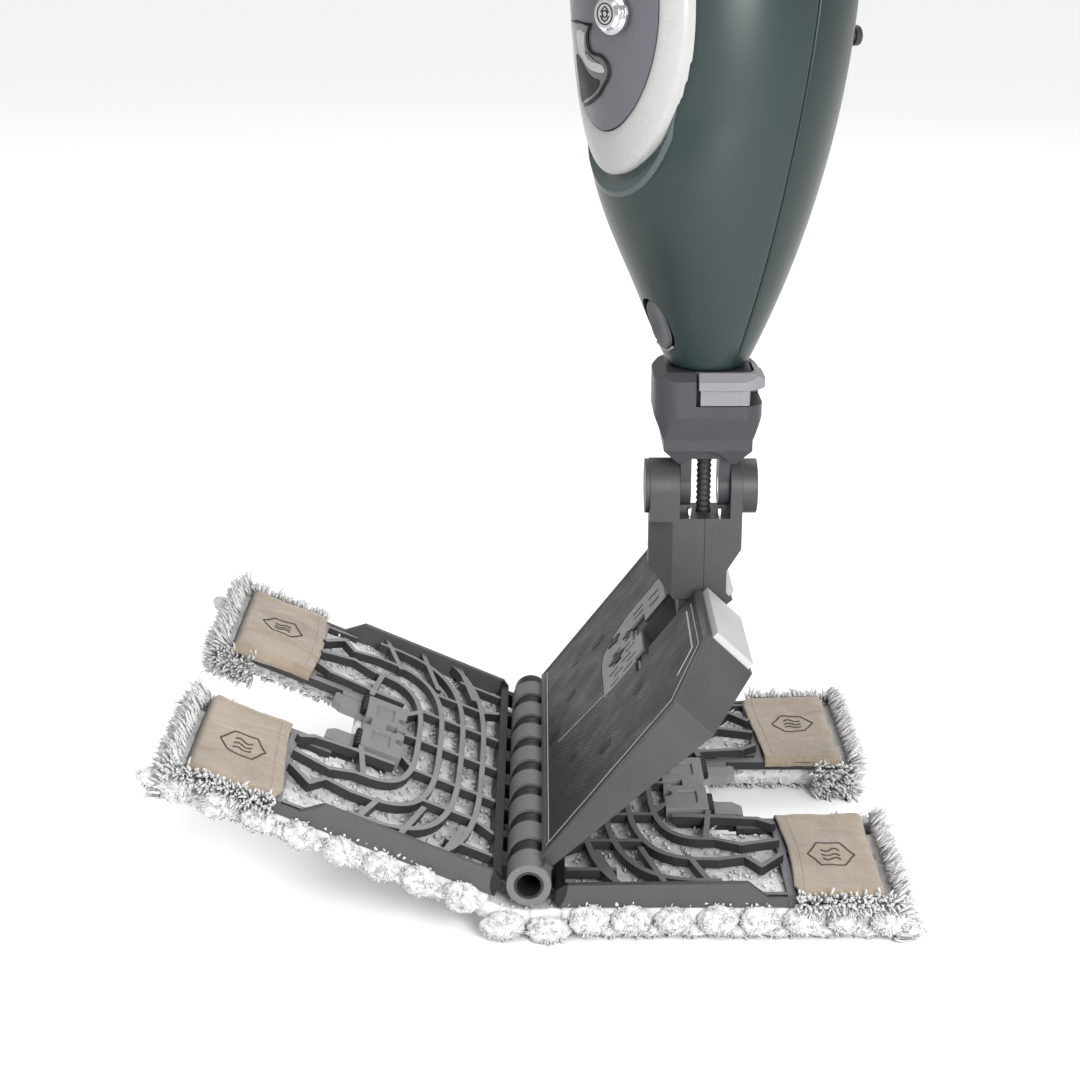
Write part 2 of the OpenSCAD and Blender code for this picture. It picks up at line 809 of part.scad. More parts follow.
hook_low_z = 459;
module rear_shell() {
    color(green) on_body() difference() {
        shell_wall();
        seam_front(0.1);
        translate([20, 0, gland_z]) rotate([0, 90, 0]) cylinder(r = 8, h = 60);
        translate([40, 0, hook_low_z]) rotate([0, 90, 0]) cylinder(r = 4, h = 60);
        for (z = [360, 600], y = [-24, 24])
            translate([24, y, z]) rotate([0, 90, 0]) cylinder(r = 2, h = 80);
    }
}

module front_ring() {
    color(pale) on_body() difference() {
        intersection() {
            body_solid(3.6);
            through_front() difference() {
                ring_oval(ring_a, ring_b);
                ring_oval(panel_a, panel_b);
            }
        }
        body_solid(-6);
    }
}

// Flat drawing of the tank window: the panel's lower left, with an S-shaped edge
module window_drawing() {
    intersection() {
        ring_oval(panel_a - 1.8, panel_b - 1.8);
        polygon([
            [-60, 470], [1, 470], [-2.6, 466], [-3.8, 461], [-1.6, 456.6], [3, 455.4], [8, 455],
            [12.6, 452.4], [14.2, 448.2], [12, 443.6], [7.6, 439.4], [1, 434.2], [-11, 429.4],
            [-60, 427]
        ]);
    }
}

module on_knob() {
    rotate([0, 0, knob_turn]) translate([-body_r(knob_z), 0, knob_z]) rotate([0, -90, 0])
        children();
}

module control_panel() {
    color(mid) on_body() difference() {
        intersection() {
            body_solid(2.2);
            through_front() ring_oval(panel_a - 0.2, panel_b - 0.2);
        }
        body_solid(-3);
        through_front() window_drawing();
        on_knob() cylinder(r = 5 + run, h = 60, center = true);
    }
}

module tank_window() {
    color([0.35, 0.36, 0.36, 0.7]) on_body() intersection() {
        difference() {
            body_solid(3);
            body_solid(-2);
        }
        through_front() window_drawing();
    }
}

module steam_knob() {
    color(steel) on_body() on_knob() {
        translate([0, 0, 3.4]) cylinder(r = knob_r, h = 2.2);
        translate([0, 0, 5]) cylinder(r = knob_r - 1.8, h = 3.4);
        translate([0, 0, 8.2]) cylinder(r1 = knob_r - 1.8, r2 = knob_r - 3.4, h = 1.6);
        translate([0, 0, -7]) cylinder(r = 5, h = 12);
    }
}

// Tank behind the ring, with a filler neck that faces forward
module water_tank() {
    color([0.6, 0.65, 0.68, 0.6]) on_body() {
        difference() {
            union() {
                intersection() {
                    body_solid(-8);
                    translate([-80, -50, 500]) cube([62, 100, 165]);
                }
                translate([-52, 0, cap_z]) rotate([0, 90, 0]) cylinder(r = 12, h = 20);
            }
            intersection() {
                body_solid(-10);
                translate([-80, -48, 502]) cube([60, 96, 161]);
            }
            translate([-60, 0, cap_z]) rotate([0, 90, 0]) cylinder(r = 9.6, h = 35);
        }
    }
}

module tank_cap() {
    color(dark) on_body() translate([-60, 0, cap_z]) rotate([0, 90, 0]) {
        cylinder(r = cap_r, h = 7);
        cylinder(r = 9.5, h = 14);
        translate([-3, -12, -5]) cube([6, 24, 6]);
    }
}

module boiler() {
    color(steel) on_body() translate([0, 0, 332]) difference() {
        cylinder(r = 29, h = 84);
        translate([0, 0, 3]) cylinder(r = 26, h = 78);
        translate([0, 0, -cut]) cylinder(r = 4.1, h = 6);
        translate([14, 0, 79]) cylinder(r = 3.1, h = 6);
    }
}

module pump() {
    color(dark) on_body() translate([14, 0, 440]) {
        cylinder(r = 17, h = 50);
        translate([0, 0, 49]) cylinder(r = 9, h = 14);
    }
}

module circuit_board() {
    color([0.1, 0.35, 0.2]) on_body() translate([-44, -22, 426]) cube([1.6, 44, 66]);
}

module feed_hose() {
    color(white) on_body() {
        translate([14, 0, 503]) cylinder(r = 3, h = 70);
        translate([14, 0, 573]) sphere(r = 3);
        translate([14, 0, 573]) rotate([0, -90, 0]) cylinder(r = 3, h = 32);
    }
}

module boiler_hose() {
    color(white) on_body() {
        translate([14, 0, 412]) cylinder(r = 3, h = 28);
        translate([0, 0, 292]) cylinder(r = 4, h = 43);
    }
}

module swivel_spigot() {
    color(dark) on_body() difference() {
        union() {
            translate([0, 0, 255]) cylinder(r = spigot_r, h = 45, $fn = 96);
            translate([0, 0, body_z0 + wall + 0.3]) cylinder(r = 19, h = 4);
        }
        translate([0, 0, 250]) cylinder(r = 4, h = 60);
    }
}

module body_release_button() {
    color(light) on_body() on_release_button() {
        translate([0, 0, -6]) linear_extrude(6.5) long_hole(10.4, 5);
        translate([0, 0, -8]) linear_extrude(3) long_hole(7, 4);
    }
}

module cord_hook_lower() {
    color(dark) on_body() translate([0, 0, hook_low_z]) rotate([0, 90, 0]) {
        translate([0, 0, 60]) cylinder(r = 3.95, h = 32);
        translate([0, 0, body_r(hook_low_z) + 0.9]) cylinder(r = 7, h = 2.4);
        translate([0, 0, 89]) cylinder(r = 5.6, h = 3.6);
    }
}

module cord_gland() {
    color(dark) on_body() translate([0, 0, gland_z]) rotate([0, 90, 0]) difference() {
        union() {
            translate([0, 0, 30]) cylinder(r = 7.95, h = 17);
            translate([0, 0, 46.6]) cylinder(r = 10, h = 3);
            translate([0, 0, 49]) cylinder(r1 = 8, r2 = 6, h = 12);
        }
        translate([0, 0, 20]) cylinder(r = 3.75, h = 60);
    }
}

module top_cap() {
    color(dark) on_body() difference() {
        union() {
            translate([0, 0, body_z1 - 30]) cylinder(r = 18, h = 32);
            translate([0, 0, body_z1 + 0.3]) cylinder(r1 = 33, r2 = 18, h = 26);
        }
        translate([0, 0, body_z1 - 31]) cylinder(r = handle_r, h = 80);
    }
}

// ---- Handle ---------------------------------------------------------------

grip_top = total_h - 2;
trigger_pivot = [-8, grip_z0 + 86];

module handle_tube() {
    color([0.55, 0.56, 0.57]) on_body() translate([0, 0, body_z1 - 28]) difference() {
        cylinder(r = handle_r, h = grip_z0 + 40 - body_z1 + 28);
        translate([0, 0, -cut]) cylinder(r = handle_r - 1.2, h = grip_z0 + 80);
    }
}

// Stations of the grip from its lower end to its top: height, radius, lean to the rear
function grip_station(z, r, x) = [z, r, x];
stations = [
    grip_station(grip_z0, 17, 0), grip_station(grip_z0 + 45, 18.5, 0),
    grip_station(grip_z0 + 90, 16, 3), grip_station(grip_z0 + 145, 17, 9),
    grip_station(total_h, 14, 16)
];
module grip_outer() {
    for (i = [0 : len(stations) - 2]) hull() for (s = [stations[i], stations[i + 1]])
        translate([s[2], 0, s[0] - (s[0] == total_h ? 8 : 0)])
            cylinder(r = s[1] - (s[0] == total_h ? 1 : 0), h = s[0] == total_h ? 8 : 1, $fn = 32);
}

module grip_solid() {
    difference() {
        grip_outer();
        translate([0, 0, grip_z0 - cut]) cylinder(r = handle_r + 0.1, h = 42.5);
        // slot for the trigger and the hole for its pin
        translate([-40, -5.4, grip_z0 + 44]) cube([38, 10.8, 50]);
        translate([trigger_pivot.x, 0, trigger_pivot.y]) rotate([90, 0, 0])
            cylinder(r = 1.6, h = 24, center = true);
    }
}

module grip_left() {
    color(dark) on_body() intersection() {
        grip_solid();
        translate([-50, -50, 900]) cube([100, 49.95, 400]);
    }
}
module grip_right() {
    color(dark) on_body() intersection() {
        grip_solid();
        translate([-50, 0.05, 900]) cube([100, 49.95, 400]);
    }
}

module trigger() {
    color(light) on_body() translate([trigger_pivot.x, 5, trigger_pivot.y]) rotate([90, 0, 0])
        linear_extrude(10) difference() {
            polygon([
                [3.5, 3], [-4, 4.5], [-13, 0], [-17, -12], [-16, -30], [-10, -37],
                [-4, -37], [-4, -10], [3.5, -4]
            ]);
            circle(r = 1.6 + run);
        }
}

module trigger_pin() {
    color(steel) on_body() translate([trigger_pivot.x, 0, trigger_pivot.y]) rotate([90, 0, 0])
        cylinder(r = 1.6, h = 23, center = true);
}

hook_z = grip_z0 - 26;
module hook_clamp() {
    color(dark) on_body() difference() {
        union() {
            translate([0, 0, hook_z - 12]) cylinder(r = 18, h = 24);
            translate([0, 0, hook_z]) rotate([0, 90, 0]) cylinder(r = 9, h = 26);
        }
        translate([0, 0, hook_z - 20]) cylinder(r = handle_r + 0.02, h = 40);
        translate([handle_r, 0, hook_z]) rotate([0, 90, 0]) cylinder(r = 4 + run, h = 20);
    }
}

// Upper cord hook: a pin that turns in the clamp, and an arm that points up
module cord_hook_upper() {
    color(dark) on_body() translate([0, 0, hook_z]) {
        translate([18.5, 0, 0]) rotate([0, 90, 0]) cylinder(r = 4, h = 10);
        translate([26.6, 0, 0]) rotate([0, 90, 0]) cylinder(r = 8, h = 5);
        translate([27, -5, 0]) cube([5, 10, 42]);
        translate([27, -5, 36]) cube([26, 10, 5]);
        translate([48, -5, 36]) cube([5, 10, 14]);
    }
}

module shell_screws() {
    color(steel) on_body() for (z = [360, 600], y = [-24, 24]) {
        seat = sqrt(pow(body_r(z), 2) - y * y);
        translate([seat - 22, y, z]) rotate([0, 90, 0]) cylinder(r = 1.9, h = 21);
    }
}

// ---- Nodes ----------------------------------------------------------------

front_shell();
rear_shell();
front_ring();
control_panel();
tank_window();
steam_knob();
water_tank();
tank_cap();
boiler();
pump();
circuit_board();
feed_hose();
boiler_hose();
swivel_spigot();
body_release_button();
cord_hook_lower();
cord_gland();
top_cap();
handle_tube();
grip_left();
grip_right();
trigger();
trigger_pin();
hook_clamp();
cord_hook_upper();
shell_screws();
collar();
collar_button();
lean_pins();
swivel_seal();
fork_left();
fork_right();
steam_hose();
guide_pins();
tilt_pin();
plate_core();
sole_left();
sole_right();
outlet_grille_left();
outlet_grille_right();
end_cover_near();
end_cover_far();
hinge_tube();
steam_duct();
plate_screws();
wing_left();
latch_block_left();
latch_hooks_left();
pad_left();
pocket_left_near();
pocket_left_far();
wing_right();
latch_block_right();
latch_hooks_right();
pad_right();
pocket_right_near();
pocket_right_far();
pad_centre();
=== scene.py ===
import math
import random

import bmesh
import bpy
import numpy as np
from mathutils import Matrix, Vector, noise


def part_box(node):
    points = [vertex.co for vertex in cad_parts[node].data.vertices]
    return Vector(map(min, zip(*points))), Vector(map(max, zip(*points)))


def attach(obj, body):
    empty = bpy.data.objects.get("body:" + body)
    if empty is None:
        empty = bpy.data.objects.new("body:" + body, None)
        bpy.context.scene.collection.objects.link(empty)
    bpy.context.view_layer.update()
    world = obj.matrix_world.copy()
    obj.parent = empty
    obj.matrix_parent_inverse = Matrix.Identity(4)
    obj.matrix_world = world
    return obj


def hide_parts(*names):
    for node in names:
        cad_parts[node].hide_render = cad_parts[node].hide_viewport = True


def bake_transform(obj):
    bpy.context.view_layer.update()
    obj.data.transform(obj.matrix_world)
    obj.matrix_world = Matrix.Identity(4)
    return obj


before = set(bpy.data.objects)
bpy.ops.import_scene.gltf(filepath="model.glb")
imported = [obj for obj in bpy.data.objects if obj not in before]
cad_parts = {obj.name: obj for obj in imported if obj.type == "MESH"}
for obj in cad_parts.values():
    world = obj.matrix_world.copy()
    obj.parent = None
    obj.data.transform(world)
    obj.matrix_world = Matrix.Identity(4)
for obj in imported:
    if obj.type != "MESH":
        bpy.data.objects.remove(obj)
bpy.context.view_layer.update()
scene = bpy.context.scene
scene.view_settings.view_transform = "Standard"

# ---- Frame ----------------------------------------------------------------
MM = 0.001
ROW = Matrix.Diagonal((MM, MM, MM, 1))


def middle(node):
    """Centre of a CAD node's box, in millimetres."""
    low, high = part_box(node)
    return (low + high) / 2 / MM


# the hinge's line, the neck's line and the angles of the rest pose, in millimetres and degrees
HX, HZ = middle("hinge_tube").x, middle("hinge_tube").z
NX = middle("steam_hose").x
PLATE_ANGLE = 47.0
LEFT_LIFT = 23.0
BODY_YAW = 28.0
BODY_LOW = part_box("rear_shell")[0].z / MM
BODY_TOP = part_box("rear_shell")[1].z / MM


def leaf(which):
    """Matrix from a leaf's own millimetres (u from the hinge, y along it, v across) to the row frame."""
    at = Matrix.Translation((HX * MM, 0, HZ * MM))
    if which == "left":
        turn = Matrix.Rotation(-math.radians(180 - LEFT_LIFT), 4, "Y")
        return at @ turn @ Matrix.Diagonal((1, 1, -1, 1)) @ ROW
    if which == "plate":
        return at @ Matrix.Rotation(-math.radians(PLATE_ANGLE), 4, "Y") @ ROW
    return at @ ROW


def body_matrix():
    """Matrix from the body's own millimetres (front at -x, turned about the neck) to the row frame."""
    return Matrix.Translation((NX * MM, 0, 0)) @ Matrix.Rotation(math.radians(BODY_YAW), 4, "Z") @ ROW


# ---- Camera ---------------------------------------------------------------
CAMERA_AT = Vector((0.003, -1.125, 0.546))
CAMERA_PITCH = math.radians(18.0)
LENS = 68.8


def make_camera():
    data = bpy.data.cameras.new("camera")
    data.lens = LENS
    data.sensor_width = 36.0
    cam = bpy.data.objects.new("camera", data)
    cam.location = CAMERA_AT
    cam.rotation_euler = (math.pi / 2 - CAMERA_PITCH, 0.0, 0.0)
    scene.collection.objects.link(cam)
    scene.camera = cam


make_camera()


# ---- Materials ------------------------------------------------------------
def tone(r, g, b):
    """Linear colour from the usual 0 to 255 scale."""
    out = []
    for c in (r / 255, g / 255, b / 255):
        out.append(c / 12.92 if c <= 0.04045 else ((c + 0.055) / 1.055) ** 2.4)
    return tuple(out)


class Paint:
    """A material under construction, with short calls for its nodes."""

    def __init__(self, name):
        self.mat = bpy.data.materials.new(name)
        self.mat.use_nodes = True
        self.nt = self.mat.node_tree
        self.bsdf = self.nt.nodes["Principled BSDF"]
        self.coords = self.nt.nodes.new("ShaderNodeTexCoord")

    def add(self, kind, **values):
        node = self.nt.nodes.new(kind)
        for key, value in values.items():
            setattr(node, key, value)
        return node

    def link(self, a, b):
        self.nt.links.new(a, b)

    def set(self, **values):
        for key, value in values.items():
            self.bsdf.inputs[key.replace("_", " ")].default_value = value

    def noise(self, scale, detail=3.0, rough=0.55, stretch=None):
        node = self.add("ShaderNodeTexNoise")
        node.inputs["Scale"].default_value = scale
        node.inputs["Detail"].default_value = detail
        node.inputs["Roughness"].default_value = rough
        vector = self.coords.outputs["Object"]
        if stretch:
            place = self.add("ShaderNodeMapping")
            place.inputs["Scale"].default_value = stretch
            self.link(vector, place.inputs["Vector"])
            vector = place.outputs[0]
        self.link(vector, node.inputs["Vector"])
        return node.outputs["Fac"]

    def span(self, value, low, high, to_low, to_high):
        node = self.add("ShaderNodeMapRange")
        for at, number in zip((1, 2, 3, 4), (low, high, to_low, to_high)):
            node.inputs[at].default_value = number
        self.link(value, node.inputs[0])
        return node.outputs[0]

    def vary(self, scale, low, high, detail=3.0):
        """Slow noise between two values."""
        return self.span(self.noise(scale, detail), 0.3, 0.7, low, high)

    def feed(self, node, at, value):
        """Gives an input a number, a colour or another node's output."""
        if isinstance(value, tuple):
            node.inputs[at].default_value = (*value, 1.0)
        elif isinstance(value, float):
            node.inputs[at].default_value = value
        else:
            self.link(value, node.inputs[at])

    def maths(self, kind, *values):
        node = self.add("ShaderNodeMath", operation=kind)
        for at, value in enumerate(values):
            self.feed(node, at, value)
        return node.outputs[0]

    def mix(self, fac, a, b):
        """Colour between a and b; each is a colour or an output."""
        node = self.add("ShaderNodeMix", data_type="RGBA")
        for at, value in ((0, fac), (6, a), (7, b)):
            self.feed(node, at, value)
        return node.outputs[2]

    def shades(self, fac, colour, low, high):
        """A colour that changes between two brightnesses."""
        return self.mix(fac, shade(colour, low), shade(colour, high))

    def wave(self, direction, scale, distortion):
        node = self.add("ShaderNodeTexWave", wave_type="BANDS", bands_direction=direction)
        node.inputs["Scale"].default_value = scale
        node.inputs["Distortion"].default_value = distortion
        self.link(self.coords.outputs["Object"], node.inputs["Vector"])
        return node.outputs["Fac"]

    def axis(self, which):
        node = self.add("ShaderNodeSeparateXYZ")
        self.link(self.coords.outputs["Object"], node.inputs[0])
        return node.outputs["XYZ".index(which)]

    def dot(self, vector):
        """How far the surface faces a direction."""
        node = self.add("ShaderNodeVectorMath", operation="DOT_PRODUCT")
        self.link(self.coords.outputs["Normal"], node.inputs[0])
        node.inputs[1].default_value = vector
        return node.outputs["Value"]

    def round_edges(self, radius):
        node = self.add("ShaderNodeBevel", samples=4)
        node.inputs["Radius"].default_value = radius
        return node.outputs[0]

    def edge_mask(self, bevel):
        """1 on edges, where the rounded normal leaves the flat one."""
        flat = self.add("ShaderNodeNewGeometry")
        node = self.add("ShaderNodeVectorMath", operation="DOT_PRODUCT")
        self.link(bevel, node.inputs[0])
        self.link(flat.outputs["Normal"], node.inputs[1])
        return self.span(node.outputs["Value"], 0.995, 0.8, 0.0, 1.0)

    def bump(self, height, strength, distance, under=None):
        node = self.add("ShaderNodeBump")
        node.inputs["Strength"].default_value = strength
        node.inputs["Distance"].default_value = distance
        self.link(height, node.inputs["Height"])
        if under is not None:
            self.link(under, node.inputs["Normal"])
        return node.outputs[0]

    def finish(self, colour, rough, normal):
        for at, value in (("Base Color", colour), ("Roughness", rough), ("Normal", normal)):
            self.link(value, self.bsdf.inputs[at])
        return self.mat


def shade(colour, k):
    """A colour made k times as bright."""
    return tuple(min(1.0, c * k) for c in colour)


def moulded(name, colour, rough=0.42, vary=0.1, grain=1400.0, depth=0.25, edge=0.0006, edge_wear_and_highlight=0.35, coat=0.0):
    """Moulded plastic: fine grain, slow colour drift, rounded edges painted slightly lighter, partly worn and
    partly a painted highlight.
    """
    p = Paint(name)
    drift = p.vary(22.0, 0.0, 1.0, 4.0)
    base = p.shades(drift, colour, 1 - vary, 1 + vary)
    fine = p.noise(grain, 2.0)
    base = p.mix(p.span(fine, 0.35, 0.65, 0.0, 0.16), base, shade(colour, 0.7))
    normal = p.round_edges(edge)
    if edge_wear_and_highlight:
        # edges painted lighter: partly worn, partly a painted highlight
        mask = p.maths("MULTIPLY", p.edge_mask(normal), p.vary(90.0, 0.3 * edge_wear_and_highlight, edge_wear_and_highlight))
        base = p.mix(mask, base, shade(colour, 2.6))
    p.set(Coat_Weight=coat, Coat_Roughness=0.15, Specular_IOR_Level=0.3)
    return p.finish(base, p.vary(60.0, rough - 0.05, rough + 0.09), p.bump(fine, depth, 0.00025, normal))


def glossy_shell(name, colour):
    """Painted shell: deep green with a fine fleck under a clear coat."""
    p = Paint(name)
    drift = p.span(p.noise(6.0, 2.0), 0.35, 0.65, 0.0, 1.0)
    base = p.shades(drift, colour, 0.94, 1.06)
    fleck = p.span(p.noise(2600.0, 1.0), 0.62, 0.75, 0.0, 0.35)
    base = p.mix(fleck, base, shade(colour, 1.9))
    ripple = p.noise(300.0, 2.0)
    p.set(Coat_Weight=0.06, Coat_Roughness=0.3, Specular_IOR_Level=0.28)
    return p.finish(base, p.vary(40.0, 0.3, 0.35), p.bump(ripple, 0.04, 0.0002))


def chromed(name):
    """Bright plated plastic with faint ripples."""
    p = Paint(name)
    p.set(Metallic=1.0)
    base = p.mix(p.vary(120.0, 0.0, 1.0), (0.66, 0.66, 0.68), (0.8, 0.8, 0.82))
    normal = p.round_edges(0.0007)
    return p.finish(base, p.vary(200.0, 0.1, 0.2), p.bump(p.noise(500.0), 0.04, 0.0002, normal))


def brushed(name, colour, stretch=(900.0, 900.0, 12.0), rough=0.3):
    """Metal with long fine scratches along one axis."""
    p = Paint(name)
    lines = p.noise(1.0, 3.0, 0.6, stretch)
    p.set(Metallic=1.0)
    base = p.shades(p.span(lines, 0.3, 0.7, 0.0, 1.0), colour, 0.82, 1.12)
    return p.finish(base, p.span(lines, 0.3, 0.7, rough - 0.08, rough + 0.1), p.bump(lines, 0.12, 0.0002))


def rubber(name, colour=(0.018, 0.018, 0.02)):
    """Matt rubber with a dusty bloom."""
    p = Paint(name)
    fine = p.noise(1800.0, 2.0)
    dusty = p.span(p.noise(45.0, 5.0), 0.45, 0.75, 0.0, 0.5)
    base = p.mix(dusty, colour, shade(colour, 2.4))
    return p.finish(base, p.vary(70.0, 0.55, 0.72), p.bump(fine, 0.3, 0.0003, p.round_edges(0.0005)))


def smoked(name, colour, alpha, rough=0.12):
    """Smoke-tinted clear plastic."""
    p = Paint(name)
    base = p.shades(p.vary(30.0, 0.0, 1.0), colour, 0.85, 1.15)
    p.set(Alpha=alpha, Coat_Weight=0.4, Coat_Roughness=0.08, Specular_IOR_Level=0.3)
    return p.finish(base, p.vary(90.0, rough, rough + 0.08), p.bump(p.noise(160.0), 0.05, 0.0003))


# metres: how far from the hinge the knuckles' painted tone reaches (a painted highlight on the plate, a
# painted shadow on the wings), and where the wings' side rails begin
PLATE_KNUCKLE, WING_KNUCKLE = 0.0127, 0.0208
RAIL_IN, RAIL_OUT = 0.1328, 0.1342


def head_plastic(name, up, lit_tops, sides, rail_painted_shade=None, knuckle_painted_light=None, hinge=None, rib=False):
    """Dark moulded head parts with painted light: faces that look up are painted lighter as if lit, the rails
    get a flat painted shade, and the knuckles get their own tone, a painted highlight on the plate and a
    painted shadow on the wings.
    """
    p = Paint(name)
    drift = p.vary(30.0, 0.0, 1.0, 4.0)
    # painted light: a shaded tone for the sides and a lit tone for the faces that look up, blended by how far
    # each face looks up
    low = p.shades(drift, sides, 0.88, 1.12)
    high = p.shades(drift, lit_tops, 0.9, 1.1)
    base = p.mix(p.span(p.dot(up), 0.5, 0.95, 0.0, 1.0), low, high)
    # the side rails painted in one flat tone, darker than the lit upward faces: painted shade
    if rail_painted_shade is not None:
        away = p.maths("ABSOLUTE", p.axis("Y"))
        base = p.mix(p.span(away, RAIL_IN, RAIL_OUT, 0.0, 1.0), base, rail_painted_shade)
    # knuckles round the hinge painted in the given tone: a painted highlight on the plate, a painted shadow
    # on the wings
    if hinge is not None:
        dx = p.maths("SUBTRACT", p.axis("X"), HX * MM)
        dz = p.maths("SUBTRACT", p.axis("Z"), HZ * MM)
        reach = p.maths("SQRT", p.maths("ADD", p.maths("MULTIPLY", dx, dx), p.maths("MULTIPLY", dz, dz)))
        base = p.mix(p.span(reach, hinge - 0.0005, hinge + 0.0003, 1.0, 0.0), base, knuckle_painted_light)
    fine = p.noise(1400.0, 2.0)
    base = p.mix(p.span(fine, 0.35, 0.65, 0.0, 0.14), base, shade(sides, 0.6))
    normal = p.round_edges(0.0007)
    # edges painted much lighter: partly worn, partly a painted highlight
    mask = p.maths("MULTIPLY", p.edge_mask(normal), p.vary(90.0, 0.1, 0.4))
    base = p.mix(mask, base, shade(sides, 3.4))
    height = fine
    if rib:
        lines = p.wave("DIAGONAL", 190.0, 0.6)
        base = p.mix(p.span(lines, 0.2, 0.8, 0.0, 0.4), base, shade(sides, 0.5))
        height = p.maths("ADD", p.maths("MULTIPLY", fine, 0.3), lines)
    p.set(Specular_IOR_Level=0.3)
    return p.finish(base, p.vary(60.0, 0.4, 0.56), p.bump(height, 0.35 if rib else 0.25, 0.0004, normal))


def pile(name):
    """White microfibre pile: soft and matt, with painted shade that greys the colour in the crevices between
    the tufts.
    """
    p = Paint(name)
    tuft = p.noise(170.0, 5.0, 0.65)
    strand = p.noise(900.0, 3.0, 0.6)
    base = p.mix(p.span(tuft, 0.34, 0.62, 0.0, 1.0), tone(180, 180, 181), tone(206, 206, 205))
    base = p.mix(p.span(strand, 0.38, 0.62, 0.3, 0.0), base, tone(158, 159, 160))
    # painted shade: ambient occlusion greys the colour in the crevices between tufts
    crevice_shade = p.add("ShaderNodeAmbientOcclusion", samples=4)
    crevice_shade.inputs["Distance"].default_value = 0.01
    base = p.mix(p.span(crevice_shade.outputs["AO"], 0.1, 0.6, 0.66, 0.0), base, tone(104, 105, 107))
    p.set(Sheen_Weight=0.35, Sheen_Roughness=0.5)
    both = p.maths("ADD", tuft, p.maths("MULTIPLY", strand, 0.6))
    return p.finish(base, p.span(strand, 0.3, 0.7, 0.82, 0.95), p.bump(both, 0.5, 0.0015))


def cloth(name, colour):
    """Plain woven cloth with worn, dusty folds."""
    p = Paint(name)
    weave = p.maths("MULTIPLY", p.wave("X", 230.0, 0.8), p.wave("Y", 230.0, 0.8))
    drift = p.span(p.noise(26.0, 4.0), 0.32, 0.68, 0.0, 1.0)
    base = p.shades(drift, colour, 0.8, 1.16)
    base = p.mix(p.span(weave, 0.0, 0.6, 0.34, 0.0), base, shade(colour, 0.6))
    base = p.mix(p.span(p.noise(520.0, 3.0), 0.5, 0.72, 0.0, 0.35), base, shade(colour, 1.5))
    p.set(Sheen_Weight=0.25, Sheen_Roughness=0.5)
    height = p.maths("ADD", weave, p.noise(700.0, 3.0))
    return p.finish(base, p.span(weave, 0.0, 1.0, 0.8, 0.92), p.bump(height, 0.45, 0.0005))


